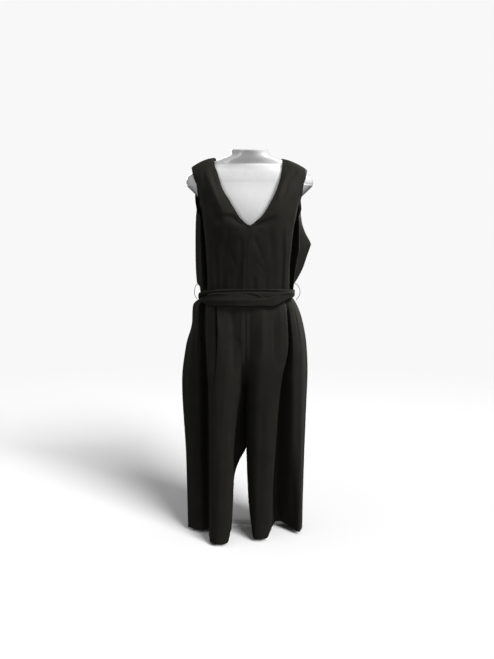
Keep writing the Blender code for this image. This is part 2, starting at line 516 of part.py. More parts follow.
def bodice_half(edges, folds, steps, shoulder_ends, crown_y, top_rows):
    """edges give the first and the last line for a height; the last row is the straight shoulder seam."""
    start, end = (Vector(point) for point in shoulder_ends)
    total = sum(steps)
    tops = [start.lerp(end, sum(steps[:k]) / total) for k in range(len(steps) + 1)]
    lines = [line + [(CROWN, top.x, crown_y), (SHOULDER, top.x, top.y)]
             for line, top in zip(folds.values(), tops[1:])]
    grid = []
    for height in BODICE_LOW_ROWS + BODICE_BUST_ROWS + top_rows:
        row = [edges[0](height)] + lines + [edges[1](height)]
        grid.append(row_through([bodice_point(line, height, top.z) for line, top in zip(row, tops)], steps))
    grid.append([start.lerp(end, k / total) for k in range(total + 1)])
    return grid


def change_at(height_of_change, low_line, high_line):
    return lambda height: low_line if height <= height_of_change else high_line


def bodice_grids():
    left_end, right_end = SHOULDER_SEAMS["left"], SHOULDER_SEAMS["right"]
    front_left = bodice_half((change_at(UNDERARM, BODICE_LEFT_SEAM, LEFT_ARMHOLE_FRONT),
                              change_at(V_POINT, CENTRE_BODICE, LEFT_NECKLINE)),
                             LEFT_BODICE_FOLDS, [2, 2, 2, 2, 2], left_end, CROWN_FRONT, FRONT_TOP_ROWS)
    front_right = bodice_half((change_at(V_POINT, CENTRE_BODICE, RIGHT_NECKLINE),
                               change_at(UNDERARM, BODICE_RIGHT_SEAM, RIGHT_ARMHOLE_FRONT)),
                              RIGHT_BODICE_FOLDS, [2, 2, 2, 2, 2], right_end[::-1], CROWN_FRONT,
                              FRONT_TOP_ROWS)
    back_right = bodice_half((change_at(UNDERARM, BODICE_RIGHT_SEAM, RIGHT_ARMHOLE_BACK),
                              change_at(NECK_BACK_POINT, CENTRE_BODICE_BACK, RIGHT_NECK_BACK)),
                             RIGHT_BODICE_BACK_FOLDS, [3, 3, 2, 2], right_end, CROWN_BACK, BACK_TOP_ROWS)
    back_left = bodice_half((change_at(NECK_BACK_POINT, CENTRE_BODICE_BACK, LEFT_NECK_BACK),
                             change_at(UNDERARM, BODICE_LEFT_SEAM, LEFT_ARMHOLE_BACK)),
                            LEFT_BODICE_BACK_FOLDS, [2, 2, 3, 3], left_end[::-1], CROWN_BACK, BACK_TOP_ROWS)
    return {"bodice_front": [front_left, front_right], "bodice_back_right": [back_right],
            "bodice_back_left": [back_left]}


# ---- the belt

def belt_outline(angle):
    """x and y of the belt's outer face; angle 0 is the middle of the front and grows towards +X."""
    side, ahead = math.sin(angle), math.cos(angle)
    power = 2.0 / BELT_SQUARENESS
    depth = BELT_FRONT if ahead > 0.0 else BELT_BACK
    x = BELT_CENTRE_X + math.copysign(abs(side) ** power, side) * BELT_HALF_WIDTH
    y = -math.copysign(abs(ahead) ** power, ahead) * depth
    return x, y


def belt_grid():
    sections = [(math.radians(angle), low, high) for angle, low, high in BELT_SECTIONS]
    columns = []
    for n in range(BELT_STEPS + 1):
        angle = between(-math.pi, math.pi, n / BELT_STEPS)
        low, high = line_at(sections, angle)
        x, y = belt_outline(angle if n < BELT_STEPS else -math.pi)
        bulge = 1.0 + 0.006 * math.cos(angle * 0.5) ** 2
        columns.append([Vector((x, y, low)), Vector((x * bulge, y * bulge, between(low, high, 0.5))),
                        Vector((x, y, high))])
    return [[column[row] for column in columns] for row in range(3)]


def tail_grid(route):
    grid = []
    for n in range(TAIL_ROWS + 1):
        height = between(route[-1][0], route[0][0], n / TAIL_ROWS)
        x, y = line_at(route, height)
        share = (route[0][0] - height) / (route[0][0] - route[-1][0])
        half = TAIL_WIDTH / 2 * min(1.0, 0.42 + 2.2 * share)
        cup = 0.0030 * (1.0 - share)
        across = [(half, 0.0), (half * 0.4, cup), (-half * 0.4, cup), (-half, 0.0)]
        grid.append([Vector((x + side, y + back, height)) for side, back in across])
    return grid


def knot_mesh():
    shape = bmesh.new()
    bmesh.ops.create_uvsphere(shape, u_segments=16, v_segments=8, radius=1.0)
    for vert in shape.verts:
        pinch = 1.0 - 0.16 * math.exp(-(vert.co.x / 0.35) ** 2)
        ball = Vector((vert.co.x, vert.co.y, vert.co.z * pinch))
        vert.co = Vector(KNOT_CENTRE) + ball * Vector(KNOT_HALF_SIZE)
    mesh = bpy.data.meshes.new("belt_knot")
    shape.to_mesh(mesh)
    shape.free()
    return mesh


def add_loop(name, route, material):
    curve = bpy.data.curves.new(name, "CURVE")
    curve.dimensions = "3D"
    curve.bevel_depth = LOOP_RADIUS
    curve.bevel_resolution = 2
    curve.use_fill_caps = True
    points = row_through([Vector((x, y, height)) for height, x, y in route], [2] * (len(route) - 1))
    spline = curve.splines.new("POLY")
    spline.points.add(len(points) - 1)
    for target, point in zip(spline.points, points):
        target.co = (*point, 1.0)
    loop = bpy.data.objects.new(name, curve)
    bpy.context.scene.collection.objects.link(loop)
    curve.materials.append(material)


# ---- the dress form and its stand

def form_ring(height, half_width, front, back, squareness):
    power = 2.0 / squareness
    ring = []
    for n in range(FORM_SIDES):
        angle = 2.0 * math.pi * n / FORM_SIDES
        across, ahead = math.cos(angle), math.sin(angle)
        depth = back if ahead > 0.0 else front
        ring.append((FORM_AXIS_X + math.copysign(abs(across) ** power, across) * half_width,
                     math.copysign(abs(ahead) ** power, ahead) * depth, height))
    return ring


def form_mesh():
    verts, faces = [], []
    for section in FORM_RINGS:
        verts += form_ring(*section)
    for r in range(len(FORM_RINGS) - 1):
        for n in range(FORM_SIDES):
            here, after = r * FORM_SIDES + n, r * FORM_SIDES + (n + 1) % FORM_SIDES
            faces.append((here, after, after + FORM_SIDES, here + FORM_SIDES))
    faces.append(tuple(reversed(range(FORM_SIDES))))
    faces.append(tuple(range(len(verts) - FORM_SIDES, len(verts))))
    mesh = bpy.data.meshes.new("form_torso")
    mesh.from_pydata(verts, [], faces)
    return mesh


def rounded(corner, before, after):
    """Three points of a small arc in place of a sharp corner."""
    corner, before, after = (Vector((*point, 0.0)) for point in (corner, before, after))
    start = corner + (before - corner).normalized() * FOOT_CORNER
    end = corner + (after - corner).normalized() * FOOT_CORNER
    middle = (start + end) * 0.25 + corner * 0.5
    return [start, middle, end]


def foot_mesh():
    left_inner, right_inner = FOOT_LEFT + FOOT_RUNNER, FOOT_RIGHT - FOOT_RUNNER
    corners = [(FOOT_LEFT, FOOT_LEFT_FRONT), (left_inner, FOOT_LEFT_FRONT), (left_inner, FOOT_CROSS_FRONT),
               (right_inner, FOOT_CROSS_FRONT), (right_inner, FOOT_RIGHT_FRONT),
               (FOOT_RIGHT, FOOT_RIGHT_FRONT), (FOOT_RIGHT, FOOT_BACK), (FOOT_LEFT, FOOT_BACK)]
    outline = []
    for k, corner in enumerate(corners):
        outline += rounded(corner, corners[k - 1], corners[(k + 1) % len(corners)])
    shape = bmesh.new()
    face = shape.faces.new([shape.verts.new(point) for point in outline])
    raised = bmesh.ops.extrude_face_region(shape, geom=[face])["geom"]
    top_verts = [item for item in raised if isinstance(item, bmesh.types.BMVert)]
    bmesh.ops.translate(shape, vec=(0, 0, FOOT_HEIGHT), verts=top_verts)
    bmesh.ops.recalc_face_normals(shape, faces=shape.faces)
    bmesh.ops.triangulate(shape, faces=shape.faces)
    mesh = bpy.data.meshes.new("stand_foot")
    shape.to_mesh(mesh)
    shape.free()
    return mesh


def post_mesh(name, radius, inner_radius, bottom, top, sides):
    """A round post, or a collar where it has an inner radius."""
    shape = bmesh.new()
    radii = [radius] if inner_radius == 0.0 else [radius, inner_radius]
    rings = []
    for ring_radius in radii:
        for height in (bottom, top):
            turn = [2.0 * math.pi * n / sides for n in range(sides)]
            rings.append([shape.verts.new((ROD_PLACE[0] + ring_radius * math.cos(a),
                                           ROD_PLACE[1] + ring_radius * math.sin(a), height)) for a in turn])
    for n in range(sides):
        m = (n + 1) % sides
        shape.faces.new((rings[0][n], rings[0][m], rings[1][m], rings[1][n]))
        if inner_radius > 0.0:
            shape.faces.new((rings[3][n], rings[3][m], rings[2][m], rings[2][n]))
            shape.faces.new((rings[1][n], rings[1][m], rings[3][m], rings[3][n]))
            shape.faces.new((rings[2][n], rings[2][m], rings[0][m], rings[0][n]))
    if inner_radius == 0.0:
        shape.faces.new(list(reversed(rings[0])))
        shape.faces.new(rings[1])
    mesh = bpy.data.meshes.new(name)
    shape.to_mesh(mesh)
    shape.free()
    return mesh


# ---- everything, in order

def build():
    for leftover in list(bpy.data.objects):
        bpy.data.objects.remove(leftover)

    trousers, bodice = trouser_grids(), bodice_grids()
    shared = outward_normals([grid for grids in trousers.values() for grid in grids])
    for side in ("left", "right"):
        leg = {name: grids for name, grids in trousers.items() if name.endswith(side)}
        normals = leaning_to(outward_normals([grid for grids in leg.values() for grid in grids]), shared)
        for name, grids in leg.items():
            add_piece(name, wall_mesh(name, grids, normals, CLOTH_WALL), crepe(name))
    normals = outward_normals([grid for grids in bodice.values() for grid in grids])
    for name, grids in bodice.items():
        add_piece(name, wall_mesh(name, grids, normals, CLOTH_WALL), crepe(name))

    belt = [belt_grid()]
    add_piece("belt_band", wall_mesh("belt_band", belt, outward_normals(belt), BELT_WALL), crepe("belt_band"))
    knot = add_piece("belt_knot", knot_mesh(), crepe("belt_knot"))
    knot.data.shade_smooth()
    for name, route in TAILS.items():
        tail = [tail_grid(route)]
        add_piece(name, wall_mesh(name, tail, outward_normals(tail), BELT_WALL), crepe(name))
    for name, route in BELT_LOOPS.items():
        add_loop(name, route, finish_material(name + "_thread", THREAD_COLOUR, THREAD_ROUGHNESS))

    form = add_piece("form_torso", form_mesh(), finish_material("form_plastic", FORM_COLOUR, FORM_ROUGHNESS))
    form.data.shade_smooth()
    add_piece("stand_foot", foot_mesh(), finish_material("foot_paint", FOOT_COLOUR, FOOT_ROUGHNESS))
    add_piece("stand_flange", post_mesh("stand_flange", FLANGE_RADIUS, ROD_RADIUS + SEAM_GAP,
                                        FOOT_HEIGHT + SEAM_GAP, FLANGE_HEIGHT, FLANGE_SIDES),
              finish_material("flange_steel", STEEL_COLOUR, STEEL_ROUGHNESS, 1.0))
    add_piece("stand_rod", post_mesh("stand_rod", ROD_RADIUS, 0.0, FOOT_HEIGHT + SEAM_GAP,
                                     FORM_RINGS[0][0] - SEAM_GAP, ROD_SIDES),
              finish_material("rod_steel", STEEL_COLOUR, STEEL_ROUGHNESS, 1.0))


build()
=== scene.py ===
import math

import bmesh
import bpy
import numpy as np
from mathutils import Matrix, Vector, noise


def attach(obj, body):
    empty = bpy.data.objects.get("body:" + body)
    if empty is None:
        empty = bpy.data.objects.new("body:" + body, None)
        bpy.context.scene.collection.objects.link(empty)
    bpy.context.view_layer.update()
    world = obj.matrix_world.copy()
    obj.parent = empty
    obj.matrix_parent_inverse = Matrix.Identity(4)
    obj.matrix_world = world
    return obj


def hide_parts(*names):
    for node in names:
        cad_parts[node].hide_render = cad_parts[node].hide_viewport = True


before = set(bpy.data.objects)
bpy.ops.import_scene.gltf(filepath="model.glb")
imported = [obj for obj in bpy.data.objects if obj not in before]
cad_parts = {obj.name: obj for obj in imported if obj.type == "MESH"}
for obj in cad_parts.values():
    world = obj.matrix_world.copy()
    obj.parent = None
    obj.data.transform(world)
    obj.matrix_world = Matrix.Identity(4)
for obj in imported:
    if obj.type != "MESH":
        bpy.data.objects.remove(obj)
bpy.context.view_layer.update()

# A sleeveless jumpsuit with cropped wide legs and a tie belt on a white form with a stand.
# Metres, +Z up. The front faces -Y, and left and right are as seen from the front.
# A cloth line is a list of (height, x, y) that runs up the garment: a seam, an edge or a fold.
# A crease is (depth outwards in crease units, half width towards -X, half width towards +X, route). Its half
# widths are in millimetres, and its route runs down the cloth as a list of (height, x, strength).

sewing = {
    "thickness": .0009,
    "rowStep": .0046,             # between the rows and the columns of a cloth's grid
    "columnStep": .0034,
    "waistRows": (.0012, .005),    # extra rows this far from the waist seam
    "edgeColumns": 3,             # extra columns in a panel's outer spans
    "edgeCrowding": 1.7,          # how much closer they stand to the panel's edge
    "turnRoundness": 1.5,         # of a turn between two spans, in lengths of the shorter one
    "seamDepth": .0010,           # the groove along a seam
    "seamHalfWidth": .0020,
    "seamHold": .010,             # creases fade within this of a seam
    "seamFade": .85,              # by this share of their depth
    "roll": .00105,               # radius of a turned edge
    "rollTurns": (40, 80, 120, 160, 180),    # its rows, in degrees round it
    "facing": (.0026, .0056, .0086),         # its rows' distances from the edge, as for the hem
    "facingStep": .00012,         # each row of a facing lies this much further in
    "hemTurn": (.004, .010, .018, .027),
    "ripple": .0006,
    "rippleWaves": ((22.0, 7.0, 0.0, 1.0), (55.0, 20.0, 9.0, .5)),    # across, up, seed's offset, share
    "creaseUnit": .00145,
    "creaseReach": 2.6,           # half widths from a crease's route to its end
    "creaseBlend": .3,            # half widths over which its one side turns into the other
    "routeStep": .006,
    "weldDistance": .00001,
    "edgeAngle": 55,              # sharper edges are rounded, and sharper than smoothAngle stay crisp
    "edgeSegments": 3,
    "smoothAngle": 70,
}

# curves and grids


def hermite(start, end, startPull, endPull, share):
    square, cube = share * share, share ** 3
    return (start * (2 * cube - 3 * square + 1) + startPull * (cube - 2 * square + share)
            + end * (3 * square - 2 * cube) + endPull * (cube - square))


def smoothstep(low, high, value):
    share = np.clip((value - low) / (high - low), 0.0, 1.0)
    return share * share * (3.0 - 2.0 * share)


# The rest of each row of a line at the heights: through its own points and never past them.
def lineAt(line, heights):
    table = np.array(sorted(line), float)
    level, rest = table[:, 0], table[:, 1:]
    span = np.diff(level)[:, None]
    slope = np.diff(rest, axis=0) / span
    pull = np.zeros_like(rest)
    pull[0], pull[-1] = slope[0], slope[-1]
    for k in range(1, len(level) - 1):
        before, after = slope[k - 1], slope[k]
        same = before * after > 0.0
        weightBefore, weightAfter = 2.0 * span[k] + span[k - 1], span[k] + 2.0 * span[k - 1]
        mean = weightBefore / np.where(same, before, 1.0) + weightAfter / np.where(same, after, 1.0)
        pull[k] = np.where(same, (weightBefore + weightAfter) / np.where(same, mean, 1.0), 0.0)
    heights = np.clip(heights, level[0], level[-1])
    i = np.clip(np.searchsorted(level, heights) - 1, 0, len(span) - 1)
    share = (heights[:, None] - level[i][:, None]) / span[i]
    return hermite(rest[i], rest[i + 1], pull[i] * span[i], pull[i + 1] * span[i], share)


# points are rows x lines x 3, and shares give each span its columns' places from 0 to 1.
# A turn at a line is as round as the shorter of the spans beside it.
def rowsThrough(points, shares):
    steps = np.diff(points, axis=1)
    chord = np.maximum(np.linalg.norm(steps, axis=2), 1e-6)[..., None]
    slope = steps / chord
    pull = np.concatenate([slope[:, :1], (slope[:, 1:] + slope[:, :-1]) / 2.0, slope[:, -1:]], axis=1)
    shorter = sewing["turnRoundness"] * np.minimum(chord[:, 1:], chord[:, :-1])
    reach = np.concatenate([chord[:, :1], shorter, chord[:, -1:]], axis=1)
    columns = [points[:, 0]]
    for k, places in enumerate(shares):
        before, after = np.minimum(chord[:, k], reach[:, k]), np.minimum(chord[:, k], reach[:, k + 1])
        for share in places:
            columns.append(hermite(points[:, k], points[:, k + 1], pull[:, k] * before,
                                   pull[:, k + 1] * after, share))
    return np.stack(columns, axis=1)


# Places of a span's columns, drawn closer to its start, its end or neither.
def spread(count, closeTo=""):
    even, power = np.arange(1, count + 1) / count, sewing["edgeCrowding"]
    return {"start": even ** power, "end": 1.0 - (1.0 - even) ** power, "": even}[closeTo]


# Heights of a grid's rows, which pass through all the marks.
def heightsBetween(marks):
    runs = [np.linspace(low, high, max(1, round((high - low) / sewing["rowStep"])), endpoint=False)
            for low, high in zip(marks, marks[1:])]
    return np.concatenate(runs + [marks[-1:]])


def alongRows(points):
    steps = np.linalg.norm(np.diff(points, axis=1), axis=2)
    return np.concatenate([np.zeros((len(points), 1)), np.cumsum(steps, axis=1)], axis=1)


# One normal for each place, shared by all the grids that meet there.
def sharedNormals(grids):
    places, facings = [], []
    for points in grids:
        across = points[1:, 1:] - points[:-1, :-1]
        facing = np.cross(across, points[1:, :-1] - points[:-1, 1:])
        total = np.zeros_like(points)
        for rows in (slice(0, -1), slice(1, None)):
            for columns in (slice(0, -1), slice(1, None)):
                total[rows, columns] += facing
        places.append(points.reshape(-1, 3))
        facings.append(total.reshape(-1, 3))
    keys, number = np.unique(np.round(np.concatenate(places), 6), axis=0, return_inverse=True)
    sums = np.zeros_like(keys)
    np.add.at(sums, number.ravel(), np.concatenate(facings))
    sums /= np.maximum(np.linalg.norm(sums, axis=1), 1e-12)[:, None]
    shared, done = sums[number.ravel()], 0
    result = []
    for points in grids:
        count = points.shape[0] * points.shape[1]
        result.append(shared[done:done + count].reshape(points.shape))
        done += count
    return result


# creases, seams and the rest of a cloth's relief


# A smooth route through (height, x, strength) rows, closely sampled.
def routeThrough(points):
    rows = np.array(points, float)
    chord = np.maximum(np.linalg.norm(np.diff(rows[:, :2], axis=0), axis=1), 1e-6)
    places = np.concatenate([[0.0], np.cumsum(chord)])
    wanted = np.linspace(0.0, places[-1], max(2, int(places[-1] / sewing["routeStep"])))
    return lineAt(np.column_stack([places, rows]).tolist(), wanted)


# How far out each point of a grid is moved by its creases, in metres.
def creaseRelief(points, across, creases, columns=slice(None)):
    relief = np.zeros(across.shape)
    levels = points[:, points.shape[1] // 2, 2]
    for out, towardsLeft, towardsRight, route in creases:
        samples = routeThrough(route)
        places, turned = [], False
        for height, x, strength in samples:
            row = int(np.argmin(np.abs(levels - height)))
            rowX, rowAcross = points[row, columns, 0], across[row, columns]
            turned = rowX[-1] < rowX[0]
            if turned:
                rowX, rowAcross = rowX[::-1], rowAcross[::-1]
            places.append((np.interp(x, np.maximum.accumulate(rowX), rowAcross), height, strength))
        widths = (towardsRight, towardsLeft) if turned else (towardsLeft, towardsRight)
        shape = creaseShape(across, points[..., 2], np.array(places), *np.array(widths) * .001)
        relief += out * sewing["creaseUnit"] * shape
    return relief


# A crease's strength at each point: full on its route, and fading with the distance from it.
def creaseShape(across, up, places, leftWidth, rightWidth):
    widest, blend = max(leftWidth, rightWidth), sewing["creaseBlend"]
    reach = sewing["creaseReach"] * widest
    near = ((across > places[:, 0].min() - reach) & (across < places[:, 0].max() + reach)
            & (up > places[:, 1].min() - reach) & (up < places[:, 1].max() + reach))
    nearAcross, nearUp = across[near], up[near]
    best, value = np.full(nearAcross.shape, 1e9), np.zeros(nearAcross.shape)
    for a, b in zip(places, places[1:]):
        along = b[:2] - a[:2]
        length = max(float(np.hypot(*along)), 1e-9)
        offAcross, offUp = nearAcross - a[0], nearUp - a[1]
        share = np.clip((offAcross * along[0] + offUp * along[1]) / length ** 2, 0.0, 1.0)
        distance = np.hypot(offAcross - share * along[0], offUp - share * along[1])
        side = (along[0] * offUp - along[1] * offAcross) / length
        width = leftWidth + (rightWidth - leftWidth) * smoothstep(-blend, blend, side / widest)
        closer = distance < best
        strength = a[2] + (b[2] - a[2]) * share
        value = np.where(closer, strength * np.exp(-(distance / width) ** 2), value)
        best = np.where(closer, distance, best)
    shape = np.zeros(across.shape)
    shape[near] = value
    return shape


# Low uneven waves, longer up the cloth than across it.
def rippleRelief(across, up, seed):
    flat = [sum(part * noise.noise((u * scaleAcross, v * scaleUp, seed + offset))
                for scaleAcross, scaleUp, offset, part in sewing["rippleWaves"])
            for u, v in zip(across.ravel(), up.ravel())]
    return np.array(flat).reshape(across.shape) * sewing["ripple"]


# How far each point is from the nearest seam of its panel.
def seamDistance(panel):
    points, across = panel["points"], panel["across"]
    levels = points[:, :, 2]
    gap = np.full(across.shape, 1.0)
    for side, low, high in panel["sideSeams"]:
        beside = across if side == "first" else across[:, -1:] - across
        beyond = np.maximum(0.0, np.maximum(low - levels, levels - high))
        gap = np.minimum(gap, np.hypot(beside, beyond))
    steps = np.linalg.norm(np.diff(points, axis=0), axis=2)
    climb = np.concatenate([np.zeros((1, points.shape[1])), np.cumsum(steps, axis=0)], axis=0)
    if "top" in panel["endSeams"]:
        gap = np.minimum(gap, climb[-1:] - climb)
    if "bottom" in panel["endSeams"]:
        gap = np.minimum(gap, climb)
    return gap


# Adds creases, ripples and seam grooves to a panel's points, all measured from its middle column.
def shapeCloth(panel):
    gap = seamDistance(panel)
    held = 1.0 - sewing["seamFade"] * np.exp(-(gap / sewing["seamHold"]) ** 2)
    middle = panel["across"].shape[1] // 2
    fromMiddle = panel["across"] - panel["across"][:, middle:middle + 1]
    relief = creaseRelief(panel["points"], fromMiddle, panel["creases"])
    relief += rippleRelief(fromMiddle, panel["points"][..., 2], panel["seed"])
    relief = relief * held - sewing["seamDepth"] * np.exp(-(gap / sewing["seamHalfWidth"]) ** 2)
    panel["points"] = panel["points"] + panel["normals"] * relief[..., None]


# from grids to cloth meshes


# Rows of a turned edge, from the facing's inner rim over the roll to the edge itself.
def turnedEdge(edge, normals, outwards, inner, innerNormals):
    radius = sewing["roll"]
    rows = [edge]
    for degrees in sewing["rollTurns"]:
        turn = math.radians(degrees)
        rows.append(edge - normals * radius
                    + (normals * math.cos(turn) + outwards * math.sin(turn)) * radius)
    for k, (places, facings) in enumerate(zip(inner, innerNormals)):
        rows.append(places - facings * (2.0 * radius + sewing["facingStep"] * k))
    return np.stack(rows[::-1], axis=0)


# The turned-up hem inside a leg.
def hemStrip(panel):
    points, normals = panel["points"], panel["normals"]
    climb = np.linalg.norm(points - points[:1], axis=2).mean(axis=1)
    chosen = [int(np.argmin(np.abs(climb - depth))) for depth in sewing["hemTurn"]]
    down = points[0] - points[1]
    down /= np.linalg.norm(down, axis=1)[:, None]
    return turnedEdge(points[0], normals[0], down, points[chosen], normals[chosen])


# A narrow facing along an armhole or a neckline, as a grid of the panel's own direction.
def sideStrip(panel, side, fromHeight):
    rows = np.nonzero(panel["heights"] >= fromHeight - 1e-6)[0]
    column, beside = (0, 1) if side == "first" else (-1, -2)
    edge, normals = panel["points"][rows, column], panel["normals"][rows, column]
    tangent = np.gradient(edge, axis=0)
    outwards = np.cross(tangent, normals)
    outwards /= np.linalg.norm(outwards, axis=1)[:, None]
    if np.sum(outwards * (edge - panel["points"][rows, beside])) < 0.0:
        outwards = -outwards
    inner = [edge - outwards * depth for depth in sewing["facing"]]
    strip = turnedEdge(edge, normals, outwards, inner, [normals] * len(inner)).transpose(1, 0, 2)
    return strip if side == "first" else strip[:, ::-1]


# One mesh from grids that share their meeting points. The UV map is in metres along the cloth.
def gridMesh(name, grids):
    verts, faces, corners, done = [], [], [], 0
    for points in grids:
        rows, columns = points.shape[:2]
        across = alongRows(points)
        across -= across[:, columns // 2][:, None]
        rises = np.linalg.norm(np.diff(points, axis=0), axis=2).mean(axis=1)
        climb = np.concatenate([[0.0], np.cumsum(rises)])
        number = np.arange(rows * columns).reshape(rows, columns) + done
        quads = np.stack([number[:-1, :-1], number[:-1, 1:], number[1:, 1:], number[1:, :-1]], axis=-1)
        place = np.stack([across, np.broadcast_to(climb[:, None], across.shape)], axis=-1).reshape(-1, 2)
        place[:, 1] += points[0, :, 2].mean()
        verts.append(points.reshape(-1, 3))
        faces.append(quads.reshape(-1, 4))
        corners.append(place[quads.reshape(-1, 4).ravel() - done])
        done += rows * columns
    mesh = bpy.data.meshes.new(name)
    mesh.from_pydata(np.concatenate(verts).tolist(), [], np.concatenate(faces).tolist())
    layer = mesh.uv_layers.new(name="clothMap")
    layer.data.foreach_set("uv", np.concatenate(corners).astype(np.float32).ravel())
    sheet = bpy.data.objects.new(name, mesh)
    bpy.context.scene.collection.objects.link(sheet)
    joined = bmesh.new()
    joined.from_mesh(mesh)
    bmesh.ops.remove_doubles(joined, verts=joined.verts, dist=sewing["weldDistance"])
    joined.to_mesh(mesh)
    joined.free()
    return sheet


# Deselects everything but this object and makes it the active one.
def only(obj):
    bpy.ops.object.select_all(action="DESELECT")
    obj.select_set(True)
    bpy.context.view_layer.objects.active = obj


# Gives a sheet its wall, inwards from its outer face, and rounds its edges if a radius is given.
def thicken(sheet, thickness, edgeRadius=0.0):
    only(sheet)
    wall = sheet.modifiers.new("wall", "SOLIDIFY")
    wall.thickness = thickness
    wall.offset = -1.0
    bpy.ops.object.modifier_apply(modifier="wall")
    if edgeRadius:
        rounding = sheet.modifiers.new("edges", "BEVEL")
        rounding.width = edgeRadius
        rounding.segments = sewing["edgeSegments"]
        rounding.limit_method = "ANGLE"
        rounding.angle_limit = math.radians(sewing["edgeAngle"])
        bpy.ops.object.modifier_apply(modifier="edges")
    bpy.ops.object.shade_smooth_by_angle(angle=math.radians(sewing["smoothAngle"]))


# A piece takes its material and the place of its node.
def finishPiece(piece, material, node):
    piece.data.materials.clear()
    piece.data.materials.append(material)
    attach(piece, "root")
    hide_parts(node)
    print(piece.name, len(piece.data.polygons), "faces")


# A panel is a grid of cloth with its creases. Its seams are (side, lowest height, highest height), and its
# turned edges are (side, lowest height).
def startPanel(values, grid, endSeams, seams, turns=()):
    points, heights = grid
    return {"points": points, "heights": heights, "across": alongRows(points), "creases": values["creases"],
            "seed": values["seed"], "endSeams": endSeams, "sideSeams": seams, "turns": turns}


# Sews each node's piece, which has a name and its panels' names. turned makes a panel's turned edges.
def sewPieces(panels, pieces, turned, material):
    shared = sharedNormals([panel["points"] for panel in panels.values()])
    for panel, normals in zip(panels.values(), shared):
        panel["normals"] = normals
    for node, (name, parts) in pieces.items():
        grids = []
        for panel in (panels[part] for part in parts):
            shapeCloth(panel)
            grids += [panel["points"]] + turned(panel)
        piece = gridMesh(name, grids)
        thicken(piece, sewing["thickness"])
        finishPiece(piece, material, node)


# materials


def startMaterial(name, colour, roughness, **sockets):
    material = bpy.data.materials.new(name)
    material.use_nodes = True
    shader = material.node_tree.nodes["Principled BSDF"]
    shader.inputs["Base Color"].default_value = (*colour, 1.0)
    shader.inputs["Roughness"].default_value = roughness
    for socket, value in sockets.items():
        shader.inputs[socket.replace("_", " ")].default_value = value
    return material, shader


# Adds a node and sets its inputs, or joins them to other nodes' outputs. i0 is the first input, i1 the next.
def addNode(owner, kind, settings=(), **inputs):
    made = owner.node_tree.nodes.new(kind)
    for name, value in dict(settings).items():
        setattr(made, name, value)
    for name, value in inputs.items():
        socket = made.inputs[int(name[1:])] if name[0] == "i" and name[1:].isdigit() else made.inputs[name]
        if isinstance(value, bpy.types.NodeSocket):
            owner.node_tree.links.new(value, socket)
        else:
            socket.default_value = value
    return made


def noiseOn(material, place, scale, detail=2.0, stretch=(1.0, 1.0, 1.0)):
    turned = addNode(material, "ShaderNodeMapping", Vector=place, Scale=stretch)
    return addNode(material, "ShaderNodeTexNoise", Vector=turned.outputs["Vector"], Scale=scale,
                   Detail=detail).outputs["Fac"]


def rampOn(material, value, stops):
    ramp = addNode(material, "ShaderNodeValToRGB", Fac=value)
    for element, (position, colour) in zip(ramp.color_ramp.elements, stops):
        element.position = position
        element.color = (*colour, 1.0)
    return ramp.outputs["Color"]


def spanOn(material, value, low, high, fromLow=.3, fromHigh=.7):
    return addNode(material, "ShaderNodeMapRange", Value=value, i1=fromLow, i2=fromHigh, i3=low,
                   i4=high).outputs["Result"]


def bumpOn(material, height, distance, strength, under=None):
    links = {"Height": height, "Distance": distance, "Strength": strength}
    if under is not None:
        links["Normal"] = under
    return addNode(material, "ShaderNodeBump", **links).outputs["Normal"]


crepe = {
    "dark": (.0250, .0239, .0200),
    "light": (.0330, .0317, .0268),
    "roughness": (.70, .84),
    "sheen": .04,
    "sheenRoughness": .42,
    "sheenTint": (1.0, .97, .92, 1.0),
    "specular": .12,
    "grain": (1300.0, 3.0), "grainBump": (.00012, .6), "grainInColour": .5,
    "streak": (1040.0, 2.0, (1.0, .22, 1.0)), "streakBump": (.00018, .5),
    "cloud": (16.0, 3.0), "cloudStops": (.45, .95),
    "rumple": (34.0, 4.0, (1.0, .55, 1.0)), "rumpleBump": (.0012, .35),
}


# A fine pebbled grain over short streaks, with faint clouds of tone. Its lift factor brightens the whole
# cloth as painted light: a lighter copy of the same crepe stands in for more light falling on it.
def makeCrepe(name, paintedLift=1.0):
    dark = tuple(value * paintedLift for value in crepe["dark"])
    light = tuple(value * paintedLift for value in crepe["light"])
    material, shader = startMaterial(name, dark, crepe["roughness"][0], Sheen_Weight=crepe["sheen"],
                                     Sheen_Roughness=crepe["sheenRoughness"], Sheen_Tint=crepe["sheenTint"],
                                     Specular_IOR_Level=crepe["specular"])
    links = material.node_tree.links
    place = addNode(material, "ShaderNodeUVMap", {"uv_map": "clothMap"}).outputs["UV"]
    grain, streak, cloud, rumple = (noiseOn(material, place, *crepe[part])
                                    for part in ("grain", "streak", "cloud", "rumple"))
    both = addNode(material, "ShaderNodeMath", {"operation": "MULTIPLY_ADD"}, i0=grain,
                   i1=crepe["grainInColour"], i2=cloud).outputs["Value"]
    stops = zip(crepe["cloudStops"], (dark, light))
    links.new(rampOn(material, both, stops), shader.inputs["Base Color"])
    links.new(spanOn(material, streak, *crepe["roughness"]), shader.inputs["Roughness"])
    normal = bumpOn(material, rumple, *crepe["rumpleBump"])
    normal = bumpOn(material, streak, *crepe["streakBump"], normal)
    links.new(bumpOn(material, grain, *crepe["grainBump"], normal), shader.inputs["Normal"])
    return material


